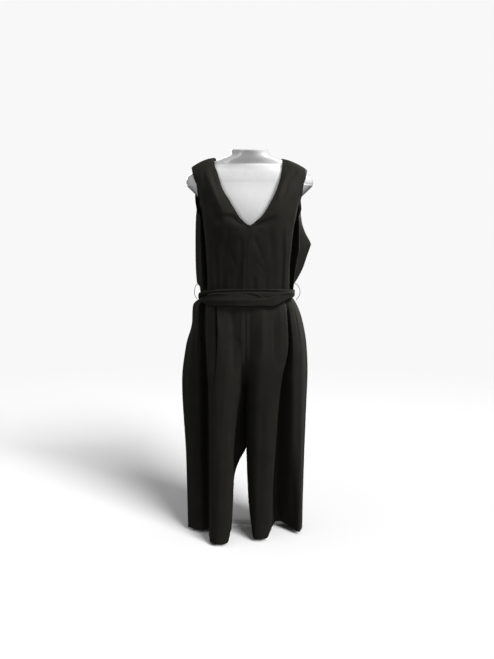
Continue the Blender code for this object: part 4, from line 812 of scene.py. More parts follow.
bodicePanels = {
    "frontLeft": {
        "first": (leftArmholeFront, bodiceLeftSeam), "last": (leftNeckline, centreBodice),
        "changes": (underarm, vPoint), "shoulder": leftShoulder, "crownY": -.017,
        "steps": (1, 1, 2, 2, 2, 2), "seed": 5.0, "seams": [("first", .79, underarm)],
        "turns": [("first", underarm), ("last", vPoint)],
        "folds": {
            "strip": [(.79, -.144, -.028), (.84, -.1445, -.032), (.92, -.1475, -.034), (1, -.15, -.032),
                      (1.055, -.1505, -.03), (1.085, -.1495, -.0585), (1.15, -.1595, -.055)],
            "valley": [(.79, -.135, -.03), (.84, -.13, -.008), (.92, -.134, .001), (1, -.14, .001),
                       (1.04, -.143, -.006), (1.066, -.1455, -.034), (1.085, -.1475, -.0615),
                       (1.15, -.157, -.0575)],
            "edge": [(.79, -.116, -.07), (.84, -.1195, -.076), (.92, -.1235, -.08), (1, -.1285, -.082),
                     (1.055, -.1355, -.082), (1.1, -.14, -.0785), (1.15, -.146, -.0685)],
            "ridge": [(.79, -.076, -.089), (.88, -.084, -.0955), (.95, -.086, -.102), (1.03, -.088, -.118),
                      (1.08, -.09, -.113), (1.15, -.115, -.086), (1.2, -.133, -.049)],
            "mid": [(.79, -.038, -.099), (.88, -.04, -.108), (.95, -.042, -.1155), (1.03, -.05, -.1245),
                    (1.08, -.068, -.114), (1.15, -.098, -.083), (1.2, -.116, -.048)],
        },
        "creases": [
            (-2.2, 13, 9, [(1.205, -.144, 0), (1.17, -.135, .8), (1.125, -.119, 1), (1.083, -.104, 1),
                           (1.056, -.094, .6), (1.042, -.086, 0)]),
            (1.8, 8, 9, [(1.21, -.13, .3), (1.17, -.1215, 1), (1.118, -.103, 1), (1.09, -.091, .8),
                         (1.062, -.077, 0)]),
            (-3.2, 10, 7, [(1.092, -.108, 0), (1.068, -.0985, 1), (1.048, -.092, 1), (1.032, -.087, .7),
                           (1.015, -.085, 0)]),
            (-1, 5, 5, [(1.195, -.111, 0), (1.165, -.103, 1), (1.135, -.094, .6), (1.115, -.087, 0)]),
            (-3.8, 13, 7, [(1.041, -.104, 0), (1.0425, -.0865, .8), (1.0455, -.071, .7), (1.046, -.0556, 1),
                           (1.0363, -.031, 1), (1.0245, -.011, .7), (1.019, -.001, .3)]),
            (3, 22, 22, [(1.088, -.083, .2), (1.066, -.074, 1), (1.054, -.066, .9)]),
            (-3.2, 12, 12, [(1.13, -.137, 0), (1.1, -.129, 1), (1.07, -.119, 1), (1.045, -.111, .5),
                            (1.02, -.108, 0)]),
            (-1.8, 2.5, 3.5, [(.965, -.0985, 0), (.945, -.099, 1), (.9, -.0958, 1), (.855, -.0952, 1),
                              (.8, -.0955, .5)]),
            (1.3, 5, 4, [(.97, -.114, 0), (.93, -.1135, 1), (.85, -.1095, 1), (.8, -.108, .4)]),
            (1.5, 4, 8, [(.965, -.0875, 0), (.945, -.0876, 1), (.885, -.0876, .8), (.84, -.088, 0)]),
            (-1, 4, 4, [(.945, -.056, 0), (.916, -.046, 1), (.887, -.032, 1), (.87, -.024, 0)]),
            (-1.7, 7, 4, [(.99, -.0185, 0), (.965, -.018, 1), (.916, -.0176, .8), (.875, -.022, .7),
                          (.85, -.029, 1), (.8, -.033, 1)]),
            (1.2, 4, 4, [(.92, -.0095, 0), (.893, -.0105, 1), (.8, -.012, 1)]),
            (1.3, 7, 7, [(.87, -.06, 0), (.845, -.0605, 1), (.8, -.061, 1)]),
            (-1.3, 5, 6, [(.885, -.0745, 0), (.85, -.0745, 1), (.8, -.074, 1)]),
            (-.9, 2.5, 2.5, [(1.012, -.01, 0), (1.006, -.02, 1), (.999, -.034, .6), (.993, -.045, 0)]),
            (-1.2, 9, 9, [(1.02, -.06, 0), (.99, -.062, 1), (.95, -.066, .8), (.91, -.07, 0)]),
        ],
    },
    "frontRight": {
        "first": (rightNeckline, centreBodice), "last": (rightArmholeFront, bodiceRightSeam),
        "changes": (vPoint, underarm), "shoulder": rightShoulder[::-1], "crownY": -.017,
        "steps": (4, 4, 3, 2, 2, 2, 2), "seed": 6.0, "seams": [("last", .79, underarm)],
        "turns": [("first", vPoint), ("last", underarm)],
        "folds": {
            "mid": [(.79, .037, -.1005), (.88, .043, -.1105), (.95, .049, -.118), (1.03, .066, -.123),
                    (1.08, .09, -.113), (1.15, .115, -.084), (1.2, .127, -.048)],
            "ridge": [(.79, .077, -.095), (.88, .088, -.105), (.95, .094, -.1115), (1.03, .104, -.1175),
                      (1.08, .114, -.111), (1.15, .134, -.082), (1.2, .144, -.049)],
            "edge": [(.79, .116, -.076), (.824, .121, -.085), (.902, .1245, -.0965), (.944, .129, -.1005),
                     (1.001, .1345, -.102), (1.05, .1435, -.097), (1.085, .15, -.087), (1.15, .159, -.071)],
            "wall": [(.79, .126, -.06), (.824, .1325, -.07), (.902, .1352, -.082), (.944, .1392, -.087),
                     (1.001, .145, -.088), (1.05, .153, -.084), (1.085, .158, -.0795),
                     (1.15, .165, -.0665)],
            "valley": [(.79, .133, -.042), (.824, .1395, -.004), (.902, .1415, .003), (.944, .145, .004),
                       (1.001, .1515, .002), (1.045, .159, -.018), (1.07, .1625, -.05),
                       (1.088, .1645, -.067), (1.15, .173, -.059)],
            "earRidge": [(.79, .142, -.028), (.823, .1505, -.018), (.858, .1535, -.024), (.887, .157, -.03),
                         (.917, .162, -.034), (.946, .167, -.036), (.99, .1675, -.037),
                         (1.027, .1672, -.038), (1.05, .1658, -.041), (1.072, .1668, -.056),
                         (1.088, .168, -.0625), (1.15, .1765, -.0548)],
        },
        "creases": [
            (-2.4, 8, 9, [(1.205, .16, 0), (1.19, .153, .8), (1.161, .131, 1), (1.125, .12, 1),
                          (1.106, .1136, .8), (1.085, .108, 0)]),
            (2, 7, 8, [(1.19, .138, 0), (1.165, .119, 1), (1.12, .101, .9), (1.095, .094, 0)]),
            (-3.6, 13, 7, [(1.019, .02, .3), (1.023, .032, 1), (1.029, .057, 1), (1.0385, .079, .9),
                           (1.046, .091, .5), (1.051, .1, 0)]),
            (2.8, 22, 22, [(1.09, .106, .2), (1.068, .096, 1), (1.054, .09, .9)]),
            (-1.3, 3, 5, [(.985, .022, 0), (.972, .025, 1), (.944, .037, 1), (.91, .05, .8),
                          (.885, .06, .5), (.87, .064, 0)]),
            (-1, 3, 3, [(.905, .036, 0), (.899, .0392, 1), (.879, .0507, 1), (.862, .06, 0)]),
            (.7, 7, 5, [(1.02, .0935, 0), (1, .0943, .8), (.93, .095, 1), (.8, .0968, 1)]),
            (-1.7, 5, 5, [(.995, .111, 0), (.978, .1117, .8), (.92, .1115, 1), (.8, .1116, .9)]),
            (1.4, 5, 5, [(1.035, .1225, 0), (1.02, .1216, .8), (.944, .123, 1), (.88, .1205, 1),
                         (.8, .118, 1)]),
            (-1.3, 4, 5, [(.86, .02, 0), (.84, .0205, 1), (.8, .021, 1)]),
            (1.1, 5, 5, [(.87, .034, 0), (.845, .035, 1), (.8, .0355, 1)]),
            (-1.1, 4, 4, [(.865, .06, 0), (.84, .061, 1), (.8, .062, 1)]),
            (-.9, 2.5, 2.5, [(1.012, .024, 0), (1.004, .034, 1), (.996, .048, .6), (.99, .058, 0)]),
            (-1.2, 8, 9, [(1.02, .07, 0), (.98, .072, 1), (.93, .076, .8), (.89, .078, 0)]),
            (-2.4, 9, 6, [(1.09, .15, 0), (1.065, .146, .8), (1.03, .14, 1), (1, .137, 0)]),
        ],
    },
    "backRight": {
        "first": (rightArmholeBack, bodiceRightSeam), "last": (rightNeckBack, centreBodiceBack),
        "changes": (underarm, neckBack), "shoulder": rightShoulder, "crownY": .025, "steps": (3, 3, 2, 2),
        "seed": 7.0, "seams": [("first", .79, underarm), ("last", .79, neckBack)],
        "turns": [("first", underarm), ("last", neckBack)],
        "folds": {
            "sideCrest": [(.79, .1335, .04), (.812, .1385, .038), (.83, .152, .036), (.85, .166, .034),
                          (.887, .185, .035), (.926, .1985, .037), (.957, .2095, .039), (.965, .2122, .04),
                          (.972, .2098, .041), (1.004, .193, .045), (1.04, .1805, .05), (1.08, .176, .06),
                          (1.13, .171, .068), (1.19, .175, .05)],
            "quarter": [(.79, .092, .08), (.88, .108, .09), (.96, .116, .096), (1.05, .116, .096),
                        (1.13, .126, .088), (1.19, .143, .059)],
            "blade": [(.79, .042, .094), (.88, .048, .0985), (.96, .056, .102), (1.05, .066, .104),
                      (1.13, .076, .096), (1.19, .098, .068)],
        },
        "creases": [
            (-3, 8, 8, [(1, .17, 0), (.95, .164, .8), (.88, .142, 1), (.82, .12, 1), (.8, .114, .8)]),
            (2.4, 8, 8, [(.97, .145, 0), (.92, .138, .8), (.86, .12, 1), (.8, .1, 1)]),
            (-1.9, 7, 7, [(.95, .118, 0), (.9, .112, .8), (.84, .094, 1), (.8, .084, 1)]),
            (1.6, 6, 6, [(.91, .075, 0), (.87, .072, 1), (.8, .066, 1)]),
            (-1.6, 5, 5, [(.93, .05, 0), (.88, .048, .9), (.8, .042, 1)]),
            (1.2, 5, 5, [(.88, .024, 0), (.85, .0235, 1), (.8, .022, 1)]),
            (-2.4, 10, 9, [(1.15, .152, 0), (1.11, .144, .8), (1.05, .136, 1), (1.01, .13, 0)]),
            (1.6, 12, 12, [(1.14, .07, 0), (1.08, .068, 1), (1, .064, .8), (.94, .06, 0)]),
            (-1.2, 5, 6, [(1.03, .03, 0), (.98, .03, .8), (.9, .032, 1), (.85, .034, 0)]),
            (-1.5, 4, 5, [(1.165, .16, 0), (1.14, .148, 1), (1.1, .13, .7), (1.07, .118, 0)]),
        ],
    },
    "backLeft": {
        "first": (leftNeckBack, centreBodiceBack), "last": (leftArmholeBack, bodiceLeftSeam),
        "changes": (neckBack, underarm), "shoulder": leftShoulder[::-1], "crownY": .025,
        "steps": (2, 2, 3, 3), "seed": 8.0, "seams": [("first", .79, neckBack), ("last", .79, underarm)],
        "turns": [("first", neckBack), ("last", underarm)],
        "folds": {
            "blade": [(.79, -.05, .0935), (.88, -.052, .098), (.96, -.056, .102), (1.05, -.058, .104),
                      (1.13, -.062, .096), (1.19, -.085, .068)],
            "quarter": [(.79, -.095, .08), (.88, -.1, .088), (.96, -.106, .093), (1.05, -.11, .094),
                        (1.13, -.116, .086), (1.19, -.13, .059)],
            "sideCrest": [(.79, -.1345, .04), (.812, -.14, .042), (.84, -.166, .044), (.92, -.17, .046),
                          (1, -.1705, .05), (1.06, -.169, .056), (1.12, -.161, .068), (1.19, -.158, .052)],
        },
        "creases": [
            (-2.6, 9, 9, [(1.16, -.135, 0), (1.12, -.128, .8), (1.06, -.12, 1), (1, -.116, .6),
                          (.95, -.112, 0)]),
            (2, 9, 9, [(1.1, -.098, 0), (1.05, -.092, .8), (.98, -.086, 1), (.9, -.08, .6),
                       (.85, -.076, 0)]),
            (-1.8, 6, 7, [(.96, -.062, 0), (.92, -.06, .8), (.86, -.054, 1), (.8, -.048, 1)]),
            (1.4, 6, 6, [(.92, -.036, 0), (.88, -.035, .9), (.8, -.032, 1)]),
            (-1.4, 5, 5, [(.9, -.022, 0), (.86, -.0215, 1), (.8, -.02, 1)]),
            (1.7, 6, 6, [(.93, -.1, 0), (.89, -.098, 1), (.8, -.09, 1)]),
            (-2, 5, 6, [(.9, -.122, 0), (.86, -.116, 1), (.8, -.108, 1)]),
            (-1.6, 4, 5, [(1.05, -.156, 0), (1.035, -.138, 1), (1.015, -.116, .8), (1, -.098, 0)]),
            (1.5, 12, 12, [(1.15, -.058, 0), (1.09, -.056, 1), (1.01, -.052, .8), (.95, -.05, 0)]),
            (-2.2, 7, 7, [(1, -.15, 0), (.95, -.147, 1), (.88, -.14, .9), (.82, -.128, .8),
                          (.8, -.124, .6)]),
        ],
    },
}


# A place along a shoulder seam, which rises a little over the form.
def shoulderPoints(start, end, shares):
    points = start + (end - start) * shares[:, None]
    points[:, 2] += 4.0 * shoulderRise * shares * (1.0 - shares)
    return points


# Rows from the waist to the shoulder seam.
def bodiceGrid(values):
    marks = [waistSeam] + [waistSeam + above for above in sewing["waistRows"]] + [vPoint]
    marks += [underarm + above for above in underarmRows]
    if values["crownY"] > 0.0:
        marks += [neckBack + above for above in neckBackRows]
    heights = heightsBetween(marks + list(topMarks))
    heights = np.concatenate([heights, topRows, [shoulder]])
    start, end = (np.array(point) for point in values["shoulder"])
    shares = np.concatenate([[0], np.cumsum(values["steps"])]) / sum(values["steps"])
    tops = shoulderPoints(start, end, shares)
    folds = {name: line + [(crown, top[0], values["crownY"]), (shoulder, top[0], top[1])]
             for (name, line), top in zip(values["folds"].items(), tops[1:])}
    flat = linesAcross(values["first"], folds, values["last"], values["changes"], heights)
    rise = np.maximum(0.0, (heights - chest) / (shoulder - chest))
    level = heights[:, None] + (tops[:, 2] - shoulder)[None, :] * rise[:, None]
    points = np.concatenate([flat, level[..., None]], axis=2)
    columns = spanShares(points)
    grid = rowsThrough(points, columns)
    along = np.concatenate([[0.0]] + [shares[k] + (shares[k + 1] - shares[k]) * places
                                      for k, places in enumerate(columns)])
    grid[-1] = shoulderPoints(start, end, along)
    return grid, heights


def makeBodice(material):
    panels = {}
    for name, values in bodicePanels.items():
        panels[name] = startPanel(values, bodiceGrid(values), ("top", "bottom"), values["seams"],
                                  values["turns"])
    pieces = {"bodice_front": ("top_front", ("frontLeft", "frontRight")),
              "bodice_back_right": ("top_back_right", ("backRight",)),
              "bodice_back_left": ("top_back_left", ("backLeft",))}
    sewPieces(panels, pieces, lambda panel: [sideStrip(panel, *turn) for turn in panel["turns"]], material)


# the belt

belt = {
    "sections": [  # angle from the front in degrees, lower edge, upper edge
        (-180, .779, .802), (-150, .774, .808), (-120, .777, .806), (-92, .787, .801), (-75, .786, .806),
        (-60, .7785, .813), (-47, .7715, .8165), (-30, .7684, .819), (-12, .7692, .8203), (0, .7672, .8206),
        (9, .7692, .8205), (18, .7668, .8206), (27, .769, .8204), (39, .7795, .82), (51, .788, .8195),
        (70, .794, .818), (88, .796, .8165), (120, .779, .809), (150, .774, .808), (180, .779, .802)],
    "outline": (-.0015, .157, .114, .106, 2.9),    # centre x, half width, front, back, squareness
    "bulge": .006, "columns": 420, "rows": 26, "thickness": .0022, "edgeRadius": .0008,
    "frontCreases": [    # these run from left to right, and their widths are below and above the route
        (-1.9, 2.6, 1.5, [(.8045, -.133, 0), (.8075, -.115, .9), (.8125, -.07, 1), (.8145, -.01, .8),
                          (.8145, .05, 1), (.8125, .1, .9), (.8105, .126, .4), (.81, .135, 0)]),
        (1.2, 1.8, 2.2, [(.8125, -.115, .4), (.8165, -.07, 1), (.818, -.01, 1), (.818, .05, 1),
                         (.8165, .1, 1), (.815, .126, .6)]),
        (-9.5, 4.2, 3.6, [(.793, -.158, .9), (.795, -.15, 1), (.7972, -.141, 1), (.8, -.132, .7),
                          (.8022, -.124, .3), (.803, -.116, 0)]),
        (2.6, 4.5, 3, [(.7905, -.148, 0), (.795, -.134, 1), (.802, -.117, 1), (.8055, -.098, .8),
                       (.8065, -.074, .5), (.806, -.05, 0)]),
        (-1.8, 3, 3, [(.793, -.128, 0), (.7975, -.114, 1), (.8005, -.096, .7), (.801, -.076, 0)]),
        (2.4, 8, 9, [(.781, -.142, .4), (.7835, -.12, 1), (.785, -.08, 1), (.785, -.03, .6),
                     (.785, .02, .3), (.786, .06, 0)]),
        (-1.5, 1.8, 1.8, [(.8055, -.008, 0), (.8035, .008, 1), (.802, .02, 1), (.797, .031, .9),
                          (.7915, .039, 0)]),
        (1.4, 2, 2, [(.8075, .004, 0), (.807, .016, 1), (.805, .028, 1), (.8, .039, .8), (.795, .048, 0)]),
        (-1, 2, 2, [(.8, .045, 0), (.7965, .057, 1), (.7915, .069, 0)]),
        (-.9, 2.5, 2, [(.79, .01, 0), (.791, .03, .8), (.793, .055, 1), (.798, .085, .6), (.801, .1, 0)]),
        (2, 6, 6, [(.809, .098, 0), (.807, .118, 1), (.806, .136, 1), (.805, .15, .5)]),
        (-1, 2, 3, [(.7985, .11, 0), (.8, .125, 1), (.802, .14, .8), (.804, .15, 0)]),
    ],
    "backCreases": [
        (-2.2, 2.5, 2.5, [(.796, -.095, 0), (.7945, -.07, .8), (.792, -.045, 1), (.79, -.024, 1)]),
        (1.5, 2.5, 2.5, [(.801, -.08, 0), (.7995, -.058, .8), (.7955, -.036, 1), (.793, -.022, 1)]),
        (-1.5, 2, 2, [(.784, -.07, 0), (.785, -.048, .8), (.787, -.026, 1)]),
        (-2.2, 2.5, 2.5, [(.79, .015, 1), (.7925, .036, 1), (.795, .062, .8), (.7975, .09, 0)]),
        (1.5, 2.5, 2.5, [(.794, .014, 1), (.7965, .03, 1), (.8, .05, .7), (.802, .074, 0)]),
        (-1.5, 2, 2, [(.787, .018, 1), (.7855, .04, .8), (.784, .064, 0)]),
        (-1.2, 2.5, 2, [(.806, .08, 0), (.805, .1, 1), (.803, .125, .6), (.801, .14, 0)]),
        (-1.2, 2.5, 2, [(.801, -.14, 0), (.804, -.12, .8), (.8055, -.095, 1), (.804, -.075, 0)]),
    ],
}


# A rounded outline at an angle from the front, with its own depths in front and behind.
def outlineAt(angle, centreX, halfWidth, front, back, squareness):
    power = 2.0 / squareness
    side, ahead = np.sin(angle), np.cos(angle)
    depth = np.where(ahead > 0.0, front, back)
    return (centreX + np.sign(side) * np.abs(side) ** power * halfWidth,
            -np.sign(ahead) * np.abs(ahead) ** power * depth)


def makeBelt(material):
    angles = np.linspace(-math.pi, math.pi, belt["columns"] + 1)
    sections = [(math.radians(angle), low, high) for angle, low, high in belt["sections"]]
    edges = lineAt(sections, angles)
    x, y = outlineAt(np.where(angles >= math.pi, -math.pi, angles), *belt["outline"])
    rows = []
    for share in np.linspace(0.0, 1.0, belt["rows"] + 1):
        bulge = 1.0 + belt["bulge"] * np.cos(angles * .5) ** 2 * (1.0 - (2.0 * share - 1.0) ** 2)
        height = edges[:, 0] + (edges[:, 1] - edges[:, 0]) * share
        rows.append(np.column_stack([x * bulge, y * bulge, height]))
    points = np.stack(rows, axis=0)
    normals = sharedNormals([points])[0]
    across = alongRows(points)
    quarter, count = belt["columns"] // 4, belt["columns"]
    relief = creaseRelief(points, across, belt["frontCreases"], slice(quarter, count - quarter + 1))
    for half in (slice(0, quarter + 1), slice(count - quarter, count + 1)):
        relief += creaseRelief(points, across, belt["backCreases"], half)
    points = points + normals * relief[..., None]
    band = gridMesh("belt_round_waist", [points])
    thicken(band, belt["thickness"], belt["edgeRadius"])
    finishPiece(band, material, "belt_band")


tails = {
    "width": .046, "thickness": .0022, "edgeRadius": .0008, "rows": 90, "columns": 20,
    "gather": (.36, .09),            # the share of the width at the knot, and the length over which it opens
    "pucker": (.055, .003, .002, 8.0, 3.0),    # how far down, its crown, its ripples' depth, turns and drift
    "sway": (.03, 9.0),              # how much the width varies down the length, and its turns
    "waveAcross": 1.7, "waveLean": (.6, .4),    # a wave's turns across, and how it grows to one side
    "ends": {        # how far the tip slants, waves of (depth, turns down the length, start), middle line
        "belt_tail_left": (.01, ((.0022, 3.1, .4), (.0014, 7.3, 1.9)), [
            (.786, -.0085, .1165), (.769, -.014, .1205), (.74, -.0205, .1215), (.68, -.03, .1235),
            (.6, -.035, .1255), (.52, -.0385, .1265)]),
        "belt_tail_right": (-.008, ((.0026, 2.6, 2.1), (.0012, 6.4, .3)), [
            (.786, .001, .1165), (.769, .007, .1205), (.74, .0135, .1215), (.68, .024, .1235),
            (.62, .029, .125), (.56, .0315, .1255)]),
    },
}


# The belt's two ends: gathered at the knot, opening into soft waves, with their tips cut at a slant.
def makeTails(material):
    narrow, opening = tails["gather"]
    run, crest, rippleDepth, ripples, drift = tails["pucker"]
    sway, sways = tails["sway"]
    middleShare, sideShare = tails["waveLean"]
    for name, (slant, waves, line) in tails["ends"].items():
        top, bottom = line[0][0], line[-1][0]
        levels = np.linspace(bottom, top, tails["rows"] + 1)
        middle = lineAt(line, levels)
        down = (top - levels)[:, None]
        share = down / (top - bottom)
        half = tails["width"] / 2 * (narrow + (1.0 - narrow) * smoothstep(0.0, opening, down))
        side = np.linspace(1.0, -1.0, tails["columns"] + 1)[None, :]
        pinched = np.exp(-(down / run) ** 2)
        y = middle[:, 1:] + crest * pinched * (1.0 - side ** 2)
        y = y + rippleDepth * pinched * np.cos(side * ripples + share * drift)
        for depth, turns, start in waves:
            wave = 1.0 + np.sin(side * tails["waveAcross"] + start + share * turns)
            y = y + depth * share * wave * (middleShare + sideShare * side)
        x = middle[:, :1] + half * side * (1.0 + sway * np.sin(sways * share))
        z = levels[:, None] + slant * side * share ** 3
        tail = gridMesh(name.replace("belt_tail", "belt_end"), [np.stack([x, y, z], axis=2)])
        thicken(tail, tails["thickness"], tails["edgeRadius"])
        finishPiece(tail, material, name)


knot = {
    "centre": (-.0040, .1172, .7905), "halfSize": (.0215, .0135, .0185), "boxiness": .80, "lean": 9.0,
    "segments": 128, "rings": 96, "askew": .22, "fanning": .3, "clothMap": (.11, .06),
    "wraps": ((-.52, .13, .085), (-.05, .10, .11), (.46, .14, .08)),    # place across, half width, depth
    "ends": ((.9, .4, .10), (-.9, .35, .06)),
}


# The knot: the belt wrapped over itself, so its grooves run down the front of it and a little askew.
def makeKnot(material):
    bpy.ops.object.select_all(action="DESELECT")
    bpy.ops.mesh.primitive_uv_sphere_add(segments=knot["segments"], ring_count=knot["rings"], radius=1.0)
    ball = bpy.context.object
    ball.name = ball.data.name = "belt_tie"
    lean = math.radians(knot["lean"])
    for vert in ball.data.vertices:
        x, y, z = (math.copysign(abs(value) ** knot["boxiness"], value) for value in vert.co)
        askew = x + knot["askew"] * z * (1.0 + knot["fanning"] * x)
        size = 1.0
        for across, dents in ((x, knot["ends"]), (askew, knot["wraps"])):
            for place, width, depth in dents:
                size -= depth * math.exp(-((across - place) / width) ** 2)
        spot = Vector((x, y * size, z * size)) * Vector(knot["halfSize"])
        turned = (spot.x * math.cos(lean) - spot.z * math.sin(lean), spot.y,
                  spot.x * math.sin(lean) + spot.z * math.cos(lean))
        vert.co = Vector(knot["centre"]) + Vector(turned)
    for layer in ball.data.uv_layers:
        layer.name = "clothMap"
        for corner in layer.data:
            corner.uv = (corner.uv[0] * knot["clothMap"][0], corner.uv[1] * knot["clothMap"][1])
    only(ball)
    bpy.ops.object.shade_smooth()
    finishPiece(ball, material, "belt_knot")
    return ball


loops = {
    "strandRadius": .00052, "twistRadius": .00052, "turnLength": .0042, "strands": 3,
    "roundness": 2, "bends": 24,     # a strand's own, and its points between two of the route's
    "routes": {
        "belt_loop_left": [(.835, -.161, .006), (.829, -.168, .005), (.814, -.172, .004),
                           (.798, -.171, .004), (.785, -.164, .006)],
        "belt_loop_right": [(.837, .157, .006), (.83, .166, .005), (.812, .174, .004),
                            (.796, .171, .004), (.782, .161, .006)],
    },
}


# Chained thread: three fine strands wound round each other.
def makeLoops(material):
    for name, route in loops["routes"].items():
        rows = np.array([[(x, y, z) for z, x, y in route]])
        path = rowsThrough(rows, [spread(loops["bends"])] * (len(route) - 1))[0]
        place = alongRows(path[None])[0]
        along = np.gradient(path, axis=0)
        along /= np.linalg.norm(along, axis=1)[:, None]
        side = np.cross(along, (0.0, 1.0, 0.0))
        side /= np.linalg.norm(side, axis=1)[:, None]
        up = np.cross(side, along)
        strands = []
        for k in range(loops["strands"]):
            turn = 2.0 * math.pi * (place / loops["turnLength"] + k / loops["strands"])
            wound = path + (side * np.cos(turn)[:, None] + up * np.sin(turn)[:, None]) * loops["twistRadius"]
            curve = bpy.data.curves.new(name, "CURVE")
            curve.dimensions = "3D"
            curve.bevel_depth = loops["strandRadius"]
            curve.bevel_resolution = loops["roundness"]
            curve.use_fill_caps = True
            spline = curve.splines.new("POLY")
            spline.points.add(len(wound) - 1)
            for target, point in zip(spline.points, wound):
                target.co = (*point, 1.0)
            strand = bpy.data.objects.new(name.replace("belt_loop", "thread_loop"), curve)
            bpy.context.scene.collection.objects.link(strand)
            strands.append(strand)
        bpy.ops.object.select_all(action="DESELECT")
        for strand in strands:
            strand.select_set(True)
        bpy.context.view_layer.objects.active = strands[0]
        bpy.ops.object.convert(target="MESH")
        bpy.ops.object.join()
        loop = bpy.context.object
        bpy.ops.object.shade_smooth()
        finishPiece(loop, material, name)


# the form and its stand

form = {
    "axisX": .009, "sides": 64, "startRadius": .1, "smoothing": 2,
    "topSlant": .147, "slantFrom": (1.252, 1.270), "slantBlend": .01,    # the neck's top falls to the front
    "rings": [  # height, half width, front depth, back depth, squareness
        (.6, .108, .06, .07, 2.3), (.604, .12, .067, .08, 2.3), (.614, .127, .073, .087, 2.3),
        (.66, .131, .077, .09, 2.3), (.73, .128, .078, .08, 2.3), (.79, .122, .078, .072, 2.3),
        (.85, .122, .083, .074, 2.3), (.92, .127, .094, .079, 2.3), (.98, .132, .107, .083, 2.3),
        (1.03, .136, .112, .086, 2.3), (1.07, .142, .105, .086, 2.3), (1.096, .1505, .096, .083, 2.3),
        (1.11, .161, .09, .08, 2.3), (1.128, .18, .081, .076, 2.3), (1.143, .1955, .074, .071, 2.3),
        (1.1495, .202, .0712, .0688, 2.3), (1.152, .204, .0702, .068, 2.3),
        (1.1535, .204, .0696, .0675, 2.3), (1.155, .2028, .069, .067, 2.3),
        (1.1565, .2044, .0684, .0665, 2.3), (1.159, .2056, .0674, .0657, 2.3),
        (1.168, .2058, .065, .062, 2.3), (1.183, .201, .059, .056, 2.25), (1.193, .188, .055, .052, 2.15),
        (1.2, .175, .052, .05, 2), (1.206, .161, .0498, .049, 1.85), (1.212, .147, .0478, .048, 1.75),
        (1.216, .142, .0458, .048, 1.7), (1.219, .1375, .044, .048, 1.7), (1.2225, .132, .0446, .0485, 1.7),
        (1.2275, .1235, .0462, .049, 1.72), (1.2325, .1125, .0476, .0495, 1.8),
        (1.2375, .099, .0488, .05, 1.9), (1.242, .0855, .0497, .051, 1.97), (1.246, .074, .0507, .052, 2),
        (1.2505, .0648, .052, .0535, 2), (1.256, .061, .0535, .055, 2), (1.264, .0595, .0545, .056, 2),
        (1.2685, .059, .0545, .056, 2), (1.2697, .0586, .054, .0555, 2), (1.27, .057, .0525, .054, 2)],
}


# A circle extruded up through the rings, each then brought to its own outline.
def makeForm(material):
    bpy.ops.object.select_all(action="DESELECT")
    bpy.ops.mesh.primitive_circle_add(vertices=form["sides"], radius=form["startRadius"],
                                      location=(form["axisX"], 0.0, form["rings"][0][0]),
                                      fill_type="NGON")
    torso = bpy.context.object
    torso.name = torso.data.name = "dress_form"
    bpy.ops.object.transform_apply(location=True)
    bpy.ops.object.mode_set(mode="EDIT")
    bpy.ops.mesh.select_mode(type="FACE")
    bpy.ops.mesh.select_all(action="SELECT")
    for low, high in zip(form["rings"], form["rings"][1:]):
        bpy.ops.mesh.extrude_region_move(TRANSFORM_OT_translate={"value": (0.0, 0.0, high[0] - low[0])})
    bpy.ops.object.mode_set(mode="OBJECT")
    levels = np.array([ring[0] for ring in form["rings"]])
    for vert in torso.data.vertices:
        nearest = int(np.argmin(np.abs(levels - vert.co.z)))
        height, *outline = form["rings"][nearest]
        x, y = outlineAt(math.atan2(vert.co.x - form["axisX"], -vert.co.y), form["axisX"], *outline)
        forward = (math.hypot(y, form["slantBlend"]) - y) / 2.0
        lowered = form["topSlant"] * forward * smoothstep(*form["slantFrom"], height)
        vert.co = (x, y, height - lowered)
    only(torso)
    bpy.ops.object.mode_set(mode="EDIT")
    bpy.ops.mesh.select_all(action="SELECT")
    bpy.ops.mesh.normals_make_consistent(inside=False)
    bpy.ops.object.mode_set(mode="OBJECT")
    smooth = torso.modifiers.new("smooth", "SUBSURF")
    smooth.levels = smooth.render_levels = form["smoothing"]
    bpy.ops.object.modifier_apply(modifier="smooth")
    bpy.ops.object.shade_smooth()
    finishPiece(torso, material, "form_torso")
    return torso


# The stand keeps its own solids, which are rigid and already have their shape.
def finishStand(paint, steel):
    for name, material in (("stand_foot", paint), ("stand_flange", steel), ("stand_rod", steel)):
        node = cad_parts[name]
        node.data.materials.clear()
        node.data.materials.append(material)


# floor, light and camera

